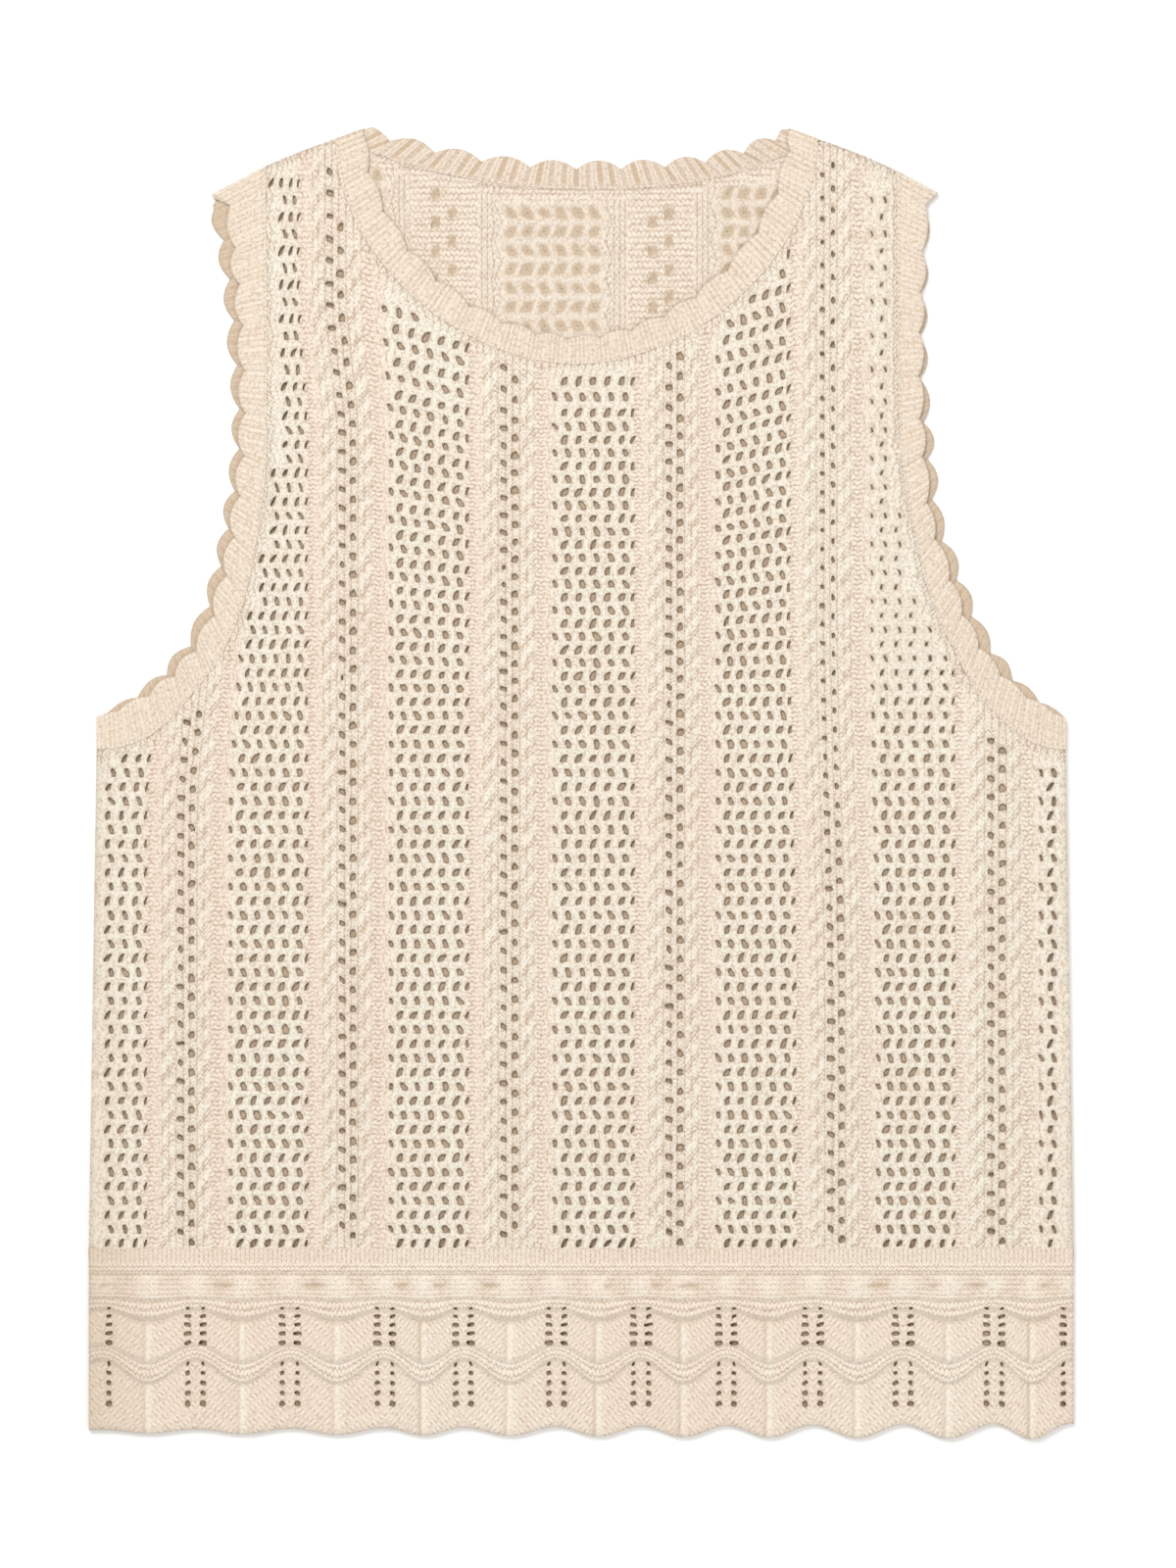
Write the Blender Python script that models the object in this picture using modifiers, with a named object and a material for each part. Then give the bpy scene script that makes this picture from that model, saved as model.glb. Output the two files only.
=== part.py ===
"""Sleeveless knitted lace top, lying flat with its front panel on its back panel.

Metres, +Z up. The neck points to +Y, and the origin is under the middle of the outline, on the
surface that the back panel rests on. Left and right are those of someone looking down at it.
Each knitted piece is one object. The pieces stop a seam gap short of one another.
"""

import math

import bmesh
import bpy
import numpy as np

MM = 0.001

# The cloth, and how it is laid.
WALL = 2.0 * MM  # one knitted layer
SEAM_GAP = 0.3 * MM  # between two pieces that are sewn together
FRONT_BASE = WALL + SEAM_GAP  # lowest inner level of the front, on top of the back
LOFT = 1.2 * MM  # how far the front's middle stays clear of the back
LOFT_MARGIN = 55 * MM  # the loft dies out over this distance from hem and shoulders

# The outline.
SIDE_HALF_WIDTH = 210.5 * MM  # at the underarm
HEM_HALF_WIDTH = 214.0 * MM
BODY_BOTTOM = -203.2 * MM  # where the hem border is joined on
SHOULDER_CENTRE = -2.0 * MM
NECK_POINT = 92.4 * MM  # from the shoulder centre to the inner end of a shoulder seam
NECK_POINT_HEIGHT = 284.3 * MM
SHOULDER_SLOPE = 0.4356  # drop for each unit outwards
SHOULDER_TIP = 157.6 * MM  # from the shoulder centre to the outer end of a shoulder seam
SHOULDER_BULGE = 2.2 * MM  # how far the seam's middle stands above a straight line
BAND_WIDTH_AT_NECK = 12.0 * MM
COVERED_END = 12.0 * MM  # of the back neck band, under the front one
SEAM_POINTS = 37  # of each curved seam

# Neck arcs, hung from the shoulder line: how deep, and how square down, to the left and right.
NECK_ARCS = {
    "front_edge": {"depth": 91.0 * MM, "down": 1.85, "left": 1.85, "right": 1.85},
    "front_seam": {"depth": 97.7 * MM, "down": 1.85, "left": 1.85, "right": 1.85},
    "back_edge": {"depth": 15.8 * MM, "down": 1.0, "left": 1.95, "right": 3.4},
    "back_seam": {"depth": 21.3 * MM, "down": 1.0, "left": 1.95, "right": 2.8},
}

# Where the armhole bands are sewn to the body, in mm: height, then how far out on each side.
ARMHOLE_SEAM = (
    # height, left, right
    (265.0, 138.0, 138.0),
    (200.0, 137.0, 138.0),
    (165.0, 137.0, 138.4),
    (130.0, 138.0, 141.0),
    (85.0, 145.6, 150.8),
    (58.0, 155.6, 162.4),
    (37.0, 171.0, 174.5),
    (23.0, 184.5, 189.0),
    (16.5, 198.0, 200.0),
    (15.0, 210.5, 210.5),
)

# The middle of the scalloped free edge of the front armhole bands, in mm.
ARMHOLE_EDGE = (
    # height, left, right
    (255.9, 159.4, 155.6),
    (248.5, 153.6, 150.6),
    (228.0, 151.2, 149.0),
    (200.0, 148.4, 148.0),
    (165.0, 147.4, 147.8),
    (140.0, 148.0, 149.4),
    (115.0, 151.0, 152.2),
    (95.0, 154.4, 158.6),
    (72.0, 161.0, 167.0),
    (55.0, 170.5, 176.4),
    (41.5, 184.0, 188.5),
    (33.0, 198.5, 201.0),
    (28.0, 210.3, 210.3),
)

# How far the back armhole bands show outside the front ones, in mm.
BACK_BAND_SHOWS = (
    # share of the way from shoulder to underarm, left, right
    (0.00, 0.4, 0.2),
    (0.05, 6.0, 0.3),
    (0.13, 4.3, 0.3),
    (0.20, 4.2, 0.4),
    (0.27, 4.0, 0.7),
    (0.35, 2.9, 1.6),
    (0.42, 2.6, 2.7),
    (0.52, 3.0, 3.1),
    (0.65, 3.6, 3.5),
    (0.75, 3.8, 4.1),
    (0.85, 3.4, 3.4),
    (0.93, 2.0, 2.0),
    (1.00, 0.2, 0.2),
)

# Scalloped, ribbed bands.
SCALLOP_DEPTH = 4.0 * MM
SHALLOW_FROM = 0.85  # of an armhole band's length, where its scallops get shallower
SHALLOWEST = 0.3  # of the full depth, at the underarm
RIBS_PER_SCALLOP = 4
SHORTEST_STEP = 0.003  # of a band's length, between its end and the first point of its edge
RIB_HEIGHT = 0.55 * MM

# The notches between the scallops: how far along the middle of a band's free edge each is, in mm.
# A neck band is gone along from left to right, an armhole band from its shoulder.
NOTCHES = {
    "neck_band_front": (
        19, 37, 57, 75, 93, 109, 124, 138, 152, 166, 181, 197, 215, 236, 255, 274,
    ),
    "neck_band_back": (12.4, 32.4, 52.9, 74.1, 94.1, 113.4, 132.6, 150, 166.9, 181.7),
    "armhole_band_front_left": (
        8, 26, 42, 60, 79.5, 98, 116.5, 134, 152, 169, 187, 204, 218, 232, 247,
    ),
    "armhole_band_front_right": (
        7, 27, 44.5, 62, 81, 99.5, 116, 136, 152, 171, 187, 203, 218, 233, 247,
    ),
    "armhole_band_back_left": (
        3, 21, 38, 56, 75.5, 94.5, 111.5, 130, 146.5, 163, 181, 200, 216, 232, 248,
    ),
    "armhole_band_back_right": (
        8, 28, 46, 64, 82, 101, 117, 134.5, 153, 171, 188, 206, 221, 236,
    ),
}

# The body's lace repeats across the width, one net column and one cable pair each time.
REPEAT = 70.3 * MM
NET_CENTRE = 4.3 * MM  # middle of the net column nearest the centre line
KNIT_SECTION = (
    # distance out from a net column's middle, how far the cloth stands up there; mm
    (18.3, 0.30),  # edge of the net
    (20.8, 0.00),  # purl gutter
    (23.0, 0.05),
    (26.9, 0.90),  # cable
    (30.8, 0.15),
    (35.15, 0.10),  # eyelet strip, half a repeat out
)
BODY_ROWS = 13

# The hem border: rows of knitting that arch over each eyelet pair, with raised purl ridges.
HEM_TOP = BODY_BOTTOM - SEAM_GAP
HEM_ROWS = (
    # height over an eyelet pair, height between two pairs, relief, braid lumps; mm
    (-203.5, -203.5, 0.25, 0.0),
    (-209.0, -209.0, 0.15, 0.0),
    (-211.2, -211.2, 0.75, 0.0),  # purl ridge
    (-213.4, -213.4, 0.10, 0.0),
    (-217.0, -217.0, 0.85, 0.5),  # sideways braid
    (-222.8, -223.2, 0.85, 0.5),
    (-225.2, -227.6, 0.10, 0.0),
    (-227.2, -230.4, 0.75, 0.0),  # purl ridge
    (-229.4, -233.4, 0.10, 0.0),
    (-245.8, -256.6, 0.10, 0.0),
    (-248.2, -259.4, 0.80, 0.0),  # wavy purl ridge
    (-250.6, -262.2, 0.10, 0.0),
    (-273.0, -277.0, 0.10, 0.0),
)
HEM_PAIRS = (-208.5, -167.6, -126.6, -85.3, -51.2, -10.7, 26.0, 63.1, 100.6, 139.9, 179.5, 212.8)
HEM_EDGE = -282.07 * MM  # middle of the scalloped edge
HEM_SCALLOP = 2.1 * MM  # half its depth, in the middle
HEM_SCALLOP_GROWS = 1.4 * MM  # the scallops are this much flatter at the left and deeper at the right
HEM_STEPS = (0.0, 0.15, 0.3, 0.44, 0.5, 0.56, 0.7, 0.85)  # shares of the way from pair to pair
DECREASE_RIDGE = 0.5 * MM  # upright ridge half way between two pairs

# Soft folds of the laid front: top and bottom of each, half its width, its height; mm.
FOLDS = (
    # x, y at the top, x, y at the bottom, half width, height
    (112.0, 245.0, 158.0, 30.0, 15.0, 1.1),
    (158.0, 10.0, 172.0, -160.0, 13.0, 0.8),
    (-178.0, -5.0, -186.0, -190.0, 14.0, 0.9),
    (-112.0, 240.0, -120.0, 90.0, 13.0, 0.7),
    (-40.0, 150.0, -52.0, -60.0, 18.0, 0.5),
)

CREAM = (0.90, 0.83, 0.70)
SHELL = (0.88, 0.77, 0.64)
TAN = (0.80, 0.70, 0.56)


def shoulder_height(x):
    """Height of the shoulder line at x. It is rounder towards the shoulder tip."""
    out = abs(x - SHOULDER_CENTRE) - NECK_POINT
    share = min(max(out / (SHOULDER_TIP - NECK_POINT), 0.0), 1.0)
    bulge = SHOULDER_BULGE * math.sin(math.pi * share**1.25)
    return NECK_POINT_HEIGHT - SHOULDER_SLOPE * out + bulge


def smooth_step(value):
    value = min(max(value, 0.0), 1.0)
    return value * value * (3 - 2 * value)


def fold_height(x, y):
    """How far the soft folds lift the front at a point."""
    height = 0.0
    for top_x, top_y, low_x, low_y, half_width, lift in np.array(FOLDS) * MM:
        share = (top_y - y) / (top_y - low_y)
        if 0 < share < 1:
            middle = top_x + (low_x - top_x) * share
            swell = math.sin(math.pi * share)
            height += lift * swell * math.exp(-(((x - middle) / half_width) ** 2))
    return height


def front_level(x, y):
    """Height of the front's plain inner side. It comes down to the back along every sewn edge."""
    across = 1 - min(abs(x) / HEM_HALF_WIDTH, 1) ** 4
    below_shoulder = smooth_step((shoulder_height(x) - y) / LOFT_MARGIN)
    above_hem = smooth_step((y - HEM_EDGE) / LOFT_MARGIN)
    calm = across * below_shoulder * above_hem
    return FRONT_BASE + calm * (LOFT + fold_height(x, y))


def line_length(points):
    return float(np.linalg.norm(np.diff(points, axis=0), axis=1).sum())


def along(points, shares):
    """The points that lie the given shares of the way along a line."""
    points = np.asarray(points, float)
    lengths = np.concatenate([[0], np.cumsum(np.linalg.norm(np.diff(points, axis=0), axis=1))])
    wanted = np.asarray(shares) * lengths[-1]
    return np.stack([np.interp(wanted, lengths, points[:, axis]) for axis in (0, 1)], axis=1)


def evenly(points, count):
    return along(points, np.linspace(0, 1, count))


def through(points, steps=12):
    """A smooth Catmull-Rom line through a few points."""
    points = np.asarray(points, float)
    ends = np.vstack([2 * points[0] - points[1], points, 2 * points[-1] - points[-2]])
    line = []
    for a, b, c, d in zip(ends, ends[1:], ends[2:], ends[3:]):
        for t in np.arange(steps) / steps:
            line.append(
                0.5
                * (
                    2 * b
                    + (c - a) * t
                    + (2 * a - 5 * b + 4 * c - d) * t**2
                    + (3 * b - a - 3 * c + d) * t**3
                )
            )
    line.append(points[-1])
    return np.array(line)


def neck_arc(name, reach):
    """A neck line from left to right. Its ends are on the shoulder line, reach from the centre."""
    arc = NECK_ARCS[name]
    top = shoulder_height(SHOULDER_CENTRE + reach)
    line = []
    for angle in np.linspace(0, math.pi, 181):
        square = arc["left"] if angle < math.pi / 2 else arc["right"]
        across = math.copysign(abs(math.cos(angle)) ** (2 / square), math.cos(angle))
        down = abs(math.sin(angle)) ** (2 / arc["down"])
        line.append((SHOULDER_CENTRE - reach * across, top - arc["depth"] * down))
    return np.array(line)


def armhole_line(table, side):
    """An armhole line from shoulder to underarm on one side, -1 for left and 1 for right."""
    column = 1 if side < 0 else 2
    points = [(side * row[column] * MM, row[0] * MM) for row in table]
    shoulder_x = points[0][0]
    points[0] = (shoulder_x, shoulder_height(shoulder_x))
    return through(points)


def armhole_seam(side):
    """The seam that a body panel and its armhole band share, as a line of few points."""
    return evenly(armhole_line(ARMHOLE_SEAM, side), SEAM_POINTS)


def neck_seam(name):
    return evenly(neck_arc(name, NECK_POINT + BAND_WIDTH_AT_NECK), SEAM_POINTS)


def outward(line, side):
    """Unit normals of a line, on its left for side 1 and on its right for side -1."""
    along = np.gradient(line, axis=0)
    along /= np.linalg.norm(along, axis=1)[:, None]
    return side * np.stack([-along[:, 1], along[:, 0]], axis=1)


def scalloped(line, notches, away, end_depth=1.0):
    """A line with a round lobe between each two of its notches, which are in mm along it.

    Returns the lobed points, the shares of the way along at which they are, and which carry a rib.
    """
    steps = 2 * RIBS_PER_SCALLOP
    marks = [2 * notches[0] - notches[1], *notches, 2 * notches[-1] - notches[-2]]
    phases = np.arange((len(marks) - 1) * steps + 1) / steps
    places = np.interp(phases, np.arange(len(marks)), marks) * MM / line_length(line)
    inside = (places > SHORTEST_STEP) & (places < 1 - SHORTEST_STEP)
    shares = np.array([0, *places[inside], 1])
    ribs = np.array([0, *(np.arange(len(places)) % 2)[inside], 0])
    swell = np.abs(np.sin(math.pi * np.interp(shares, places, phases))) ** 0.8 - 0.5
    depth = SCALLOP_DEPTH * np.interp(shares, [SHALLOW_FROM, 1], [1, end_depth])
    line = along(line, shares)
    return line + outward(line, away) * (swell * depth)[:, None], shares, ribs


def fade_to_shoulder(line, ends):
    """Keeps a lobed line under the shoulder line at the ends that are sewn there."""
    for end in ends:
        line[end][1] = shoulder_height(line[end][0])
    return line


def material(name, colour):
    """Dull cotton yarn in one colour."""
    made = bpy.data.materials.new(name)
    made.use_nodes = True
    shader = made.node_tree.nodes["Principled BSDF"]
    shader.inputs["Base Color"].default_value = (*colour, 1)
    shader.inputs["Roughness"].default_value = 0.9
    shader.inputs["Metallic"].default_value = 0.0
    return made


def link(obj, collection, colour=None):
    """Moves an object into a collection and gives it its own material."""
    for old in obj.users_collection:
        old.objects.unlink(obj)
    collection.objects.link(obj)
    if colour:
        obj.data.materials.append(material(obj.name + "_yarn", colour))


def plate(name, outline, bottom, thickness, collection, colour=None):
    """A flat piece cut to an outline: a filled 2D curve, extruded, then made a closed mesh."""
    curve = bpy.data.curves.new(name, "CURVE")
    curve.dimensions = "2D"
    curve.fill_mode = "BOTH"
    curve.extrude = thickness / 2
    spline = curve.splines.new("POLY")
    spline.points.add(len(outline) - 1)
    for point, (x, y) in zip(spline.points, outline):
        point.co = (x, y, 0, 1)
    spline.use_cyclic_u = True
    shape = bpy.data.objects.new(name + "_curve", curve)
    shape.location.z = bottom + thickness / 2
    collection.objects.link(shape)
    bpy.context.view_layer.update()
    evaluated = shape.evaluated_get(bpy.context.evaluated_depsgraph_get())
    mesh = bpy.data.meshes.new_from_object(evaluated)
    mesh.name = name
    mesh.transform(shape.matrix_world)
    bpy.data.objects.remove(shape)
    edit = bmesh.new()
    edit.from_mesh(mesh)
    bmesh.ops.remove_doubles(edit, verts=edit.verts, dist=0.02 * MM)
    bmesh.ops.recalc_face_normals(edit, faces=edit.faces)
    edit.to_mesh(mesh)
    edit.free()
    made = bpy.data.objects.new(name, mesh)
    collection.objects.link(made)
    if colour:
        mesh.materials.append(material(name + "_yarn", colour))
    return made


def cloth(name, inner, relief, collection, colour):
    """A knitted wall on a grid of inner points, with its relief raised on the outer side only.

    inner[i][j] is the place of a grid point, and relief[i][j] how far the wall stands up there.
    """
    inner, relief = np.asarray(inner, float), np.asarray(relief, float)
    columns, rows = relief.shape
    bpy.ops.mesh.primitive_grid_add(
        x_subdivisions=columns - 1, y_subdivisions=rows - 1, size=1, location=(0, 0, 0)
    )
    made = bpy.context.active_object
    made.name = made.data.name = name
    mesh = made.data
    thickest = WALL + relief.max()
    group = made.vertex_groups.new(name="wall")
    for vertex in mesh.vertices:
        column = round((vertex.co.x + 0.5) * (columns - 1))
        row = round((vertex.co.y + 0.5) * (rows - 1))
        vertex.co = inner[column][row]
        group.add([vertex.index], (WALL + relief[column][row]) / thickest, "REPLACE")
    wall = made.modifiers.new("wall", "SOLIDIFY")
    wall.thickness = thickest
    wall.offset = 1
    wall.vertex_group = "wall"
    wall.thickness_vertex_group = 0
    link(made, collection, colour)
    return made


def ribbed_band(name, seam, edge, shares, ribs, level, collection, colour):
    """A band of ribbing between its seam and its scalloped edge, ribs running across it."""
    seam = along(seam, shares)
    toward = edge - seam
    seam = seam + toward / np.linalg.norm(toward, axis=1)[:, None] * SEAM_GAP
    inner, relief = [], []
    for start, end, rib in zip(seam, edge, ribs):
        column, raised = [], []
        for share, height in ((0.0, 0.7), (0.72, 1.0), (1.0, 0.5)):
            x, y = start + (end - start) * share
            column.append((x, y, level(x, y)))
            raised.append(rib * RIB_HEIGHT * height)
        inner.append(column)
        relief.append(raised)
    # A band that runs with its edge on its right would face down, so it is gone through backwards.
    first, second = seam[1] - seam[0], edge[0] - seam[0]
    if first[0] * second[1] - first[1] * second[0] < 0:
        inner.reverse()
        relief.reverse()
    return cloth(name, inner, relief, collection, colour)


def knit_columns():
    """Where the body's relief changes across the width, and how far the cloth stands up there."""
    columns = {}
    for repeat in range(-4, 5):
        centre = NET_CENTRE + repeat * REPEAT
        for distance, height in KNIT_SECTION:
            for side in (-1, 1):
                x = round(centre + side * distance * MM, 6)
                columns[x] = height * MM
    reach = HEM_HALF_WIDTH + 4 * MM
    inside = sorted((x, height) for x, height in columns.items() if abs(x) < reach)
    return [(-reach, inside[0][1]), *inside, (reach, inside[-1][1])]


def shoulder_points(start, end):
    """A few points along the shoulder line between start and end."""
    return [(x, shoulder_height(x)) for x in np.linspace(start, end, 6)[1:-1]]


def body_outline(neck):
    """The cut shape of a body panel, anticlockwise from its lower left corner."""
    left, right = armhole_seam(-1)[::-1], armhole_seam(1)
    outline = [
        (-HEM_HALF_WIDTH, BODY_BOTTOM),
        *left,
        *shoulder_points(left[-1][0], neck[0][0]),
        *neck,
        *shoulder_points(neck[-1][0], right[0][0]),
        *right,
        (HEM_HALF_WIDTH, BODY_BOTTOM),
    ]
    return outline[::-1]


def front_body(collection, cutters):
    """The lace panel: a wall with raised cables, cut to the outline."""
    columns = knit_columns()
    heights = np.linspace(BODY_BOTTOM - 6 * MM, NECK_POINT_HEIGHT + 6 * MM, BODY_ROWS)
    inner = [[(x, y, front_level(x, y)) for y in heights] for x, _ in columns]
    relief = [[height] * BODY_ROWS for _, height in columns]
    panel = cloth("front_body", inner, relief, collection, CREAM)
    cutter = plate("front_cut", body_outline(neck_seam("front_seam")), -10 * MM, 40 * MM, cutters)
    cutter.hide_render = True
    cutter.display_type = "WIRE"
    cut = panel.modifiers.new("cut", "BOOLEAN")
    cut.operation = "INTERSECT"
    cut.solver = "EXACT"
    cut.object = cutter


def hem_edge_height(x, share):
    """Height of the scalloped hem at x, share being the way from one eyelet pair to the next."""
    depth = HEM_SCALLOP + HEM_SCALLOP_GROWS * x / HEM_HALF_WIDTH
    return HEM_EDGE + depth * math.cos(2 * math.pi * share)


def hem_columns():
    """Columns of the hem border: x, and the share of the way from one eyelet pair to the next."""
    pairs = [x * MM for x in HEM_PAIRS]
    columns = []
    for start, end in zip(pairs, pairs[1:]):
        columns += [(start + (end - start) * share, share) for share in HEM_STEPS]
    columns.append((pairs[-1], 0.0))
    first_pitch = pairs[1] - pairs[0]
    edge_share = 1 - (pairs[0] + HEM_HALF_WIDTH) / first_pitch
    return [(-HEM_HALF_WIDTH, edge_share), *columns, (HEM_HALF_WIDTH, 0.03)]


def front_hem(collection):
    """The lace border: purl ridges, the sideways braid and upright ridges between the scallops."""
    inner, relief = [], []
    for x, share in hem_columns():
        between = 0.5 - 0.5 * math.cos(2 * math.pi * share)
        lump = math.sin(2 * math.pi * share) ** 2
        column, raised = [], []
        for over, low, height, braid in HEM_ROWS:
            y = (over + (low - over) * between) * MM
            column.append((x, y, front_level(x, y)))
            stands = (height + braid * lump) * MM
            if share == 0.5 and y < HEM_ROWS[7][0] * MM and height < 0.5:
                stands += DECREASE_RIDGE
            raised.append(stands)
        edge = hem_edge_height(x, share)
        column.append((x, edge, front_level(x, edge)))
        raised.append(0.0)
        # Grid rows run upwards, so that the wall faces up.
        inner.append(column[::-1])
        relief.append(raised[::-1])
    cloth("hem_border_front", inner, relief, collection, SHELL)


def armhole_band_front(side, name, collection):
    edge = armhole_line(ARMHOLE_EDGE, side)
    lobed, shares, ribs = scalloped(edge, NOTCHES[name], side, SHALLOWEST)
    lobed = fade_to_shoulder(lobed, [0])
    lobed[-1][0] = side * SIDE_HALF_WIDTH
    ribbed_band(
        name, armhole_seam(side), lobed, shares, ribs, front_level, collection, SHELL
    )


def armhole_band_back(side, name, collection):
    """A flat band whose scallops show a little way outside the front one's."""
    seam = armhole_seam(side)
    edge = evenly(armhole_line(ARMHOLE_EDGE, side), 121)
    shares, left, right = np.array(BACK_BAND_SHOWS).T
    shown = np.interp(np.linspace(0, 1, len(edge)), shares, left if side < 0 else right) * MM
    edge = edge + outward(edge, side) * shown[:, None]
    lobed = scalloped(edge, NOTCHES[name], side, SHALLOWEST)[0]
    lobed = fade_to_shoulder(lobed, [0])
    lobed[-1][0] = side * SIDE_HALF_WIDTH
    seam = seam + outward(seam, side) * SEAM_GAP
    seam[0][1] = shoulder_height(seam[0][0])
    seam[-1][0] = side * SIDE_HALF_WIDTH
    outline = [*map(tuple, seam), *map(tuple, lobed[::-1])]
    plate(name, outline, 0, WALL, collection, TAN)


def neck_band_front(collection):
    edge = neck_arc("front_edge", NECK_POINT)
    lobed, shares, ribs = scalloped(edge, NOTCHES["neck_band_front"], 1)
    lobed = fade_to_shoulder(lobed, [0, -1])
    ribbed_band(
        "neck_band_front", neck_seam("front_seam"), lobed, shares, ribs, front_level,
        collection, SHELL,
    )


def neck_band_back(collection):
    """The band across the back of the neck. Its ribs show inside the neck, clear of the front."""
    edge = neck_arc("back_edge", NECK_POINT)
    lobed, shares, ribs = scalloped(edge, NOTCHES["neck_band_back"], 1)
    lobed = fade_to_shoulder(lobed, [0, -1])
    covered = abs(lobed[:, 0] - SHOULDER_CENTRE) > NECK_POINT - COVERED_END
    ribs[covered] = 0
    ribbed_band(
        "neck_band_back", neck_seam("back_seam"), lobed, shares, ribs, lambda x, y: 0.0,
        collection, TAN,
    )


def back_body(collection):
    plate("back_body", body_outline(neck_seam("back_seam")), 0, WALL, collection, TAN)


def back_hem(collection):
    """The border's plain back layer, with the same scalloped edge."""
    columns = [[(x, hem_edge_height(x, share), 0), (x, HEM_TOP, 0)] for x, share in hem_columns()]
    cloth("hem_border_back", columns, [[0, 0]] * len(columns), collection, TAN)


def build():
    for obj in list(bpy.data.objects):
        bpy.data.objects.remove(obj)
    top = bpy.data.collections.new("knitted_top")
    cutters = bpy.data.collections.new("cutters")
    for collection in (top, cutters):
        bpy.context.scene.collection.children.link(collection)
    back_body(top)
    back_hem(top)
    neck_band_back(top)
    for side, word in ((-1, "left"), (1, "right")):
        armhole_band_back(side, "armhole_band_back_" + word, top)
        armhole_band_front(side, "armhole_band_front_" + word, top)
    front_body(top, cutters)
    front_hem(top)
    neck_band_front(top)


build()
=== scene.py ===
"""Looks of a sleeveless lace-knit top that lies flat, front panel on back panel.

Metres, +Z up, the neck towards +Y. Left and right are those of someone looking down at it.
Every piece is knitted cotton: a thin closed shell in the place of its solid, and the lace has
real holes.
"""

import math

import bpy
import numpy as np
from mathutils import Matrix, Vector


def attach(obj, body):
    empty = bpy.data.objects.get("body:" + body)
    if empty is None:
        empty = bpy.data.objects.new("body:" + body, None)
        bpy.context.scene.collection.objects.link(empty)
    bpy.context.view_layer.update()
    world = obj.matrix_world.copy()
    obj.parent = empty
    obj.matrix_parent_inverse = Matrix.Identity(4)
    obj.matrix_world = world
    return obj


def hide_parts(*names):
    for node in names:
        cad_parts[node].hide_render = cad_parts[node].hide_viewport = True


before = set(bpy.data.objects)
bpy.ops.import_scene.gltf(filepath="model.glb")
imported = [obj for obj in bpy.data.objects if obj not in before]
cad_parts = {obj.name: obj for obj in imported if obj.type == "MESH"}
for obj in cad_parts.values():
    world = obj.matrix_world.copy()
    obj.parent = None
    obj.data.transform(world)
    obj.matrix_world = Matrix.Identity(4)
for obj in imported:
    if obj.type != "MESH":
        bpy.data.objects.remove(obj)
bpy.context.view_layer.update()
bpy.ops.object.select_all(action="DESELECT")
MM = 0.001


# ---------------------------------------------------------------------------------------------
# Back panel. Cotton lace in a coarser gauge than the front, one wall 2 mm thick that lies on the
# surface. Its inner side shows inside the neck, and its plain outer side is underneath.

WALL = 2.0 * MM
SEAM_GAP = 0.3 * MM
HEM_HALF_WIDTH = 214.0 * MM
SIDE_HALF_WIDTH = 210.5 * MM  # at the underarm
BODY_BOTTOM = -203.2 * MM
SHOULDER_CENTRE = -2.0 * MM
NECK_POINT = 92.4 * MM
NECK_POINT_HEIGHT = 284.3 * MM
SHOULDER_SLOPE = 0.4356
SHOULDER_TIP = 157.6 * MM
SHOULDER_BULGE = 2.2 * MM
BAND_WIDTH_AT_NECK = 12.0 * MM
HEM_EDGE = -282.07 * MM
LOFT = 0.6 * MM
LOFT_MARGIN = 55 * MM
BACK_FOLLOWS = 0.7  # of the front's loft, so that the two lie close
FOLDS = (
    # x, y at the top, x, y at the bottom, half width, height; mm
    (112.0, 245.0, 158.0, 30.0, 15.0, 1.1),
    (158.0, 10.0, 172.0, -160.0, 13.0, 0.8),
    (-178.0, -5.0, -186.0, -190.0, 14.0, 0.9),
    (-112.0, 240.0, -120.0, 90.0, 13.0, 0.7),
    (-40.0, 150.0, -52.0, -60.0, 18.0, 0.5),
    (34.0, 60.0, 20.0, -150.0, 16.0, 0.5),
    (88.0, 40.0, 96.0, -120.0, 12.0, 0.4),
    (-84.0, -30.0, -78.0, -215.0, 15.0, 0.5),
)

# Neck lines, hung from the shoulder line: how deep, and how square down, to the left and right.
NECK_ARCS = {
    "front_edge": (91.0 * MM, 1.85, 1.85, 1.85),
    "front_seam": (97.7 * MM, 1.85, 1.85, 1.85),
    "back_edge": (15.8 * MM, 1.0, 1.95, 3.4),
    "back_seam": (21.3 * MM, 1.0, 1.95, 2.8),
}

# Where the armhole bands are sewn on, in mm: height, then how far out to the left and right.
ARMHOLE_SEAM = (
    (265.0, 138.0, 138.0), (200.0, 137.0, 138.0), (165.0, 137.0, 138.4), (130.0, 138.0, 141.0),
    (85.0, 145.6, 150.8), (58.0, 155.6, 162.4), (37.0, 171.0, 174.5), (23.0, 184.5, 189.0),
    (16.5, 198.0, 200.0), (15.0, 210.5, 210.5),
)


def shoulder_height(x):
    """Height of the slightly round shoulder line at x."""
    out = abs(x - SHOULDER_CENTRE) - NECK_POINT
    share = min(max(out / (SHOULDER_TIP - NECK_POINT), 0.0), 1.0)
    bulge = SHOULDER_BULGE * math.sin(math.pi * share**1.25)
    return NECK_POINT_HEIGHT - SHOULDER_SLOPE * out + bulge


def along(line, shares):
    """The points that lie the given shares of the way along a line."""
    steps = np.linalg.norm(np.diff(line, axis=0), axis=1)
    lengths = np.concatenate([[0], np.cumsum(steps)])
    wanted = np.asarray(shares) * lengths[-1]
    return np.stack([np.interp(wanted, lengths, line[:, axis]) for axis in (0, 1)], axis=1)


def evenly(line, count):
    return along(line, np.linspace(0, 1, count))


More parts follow.
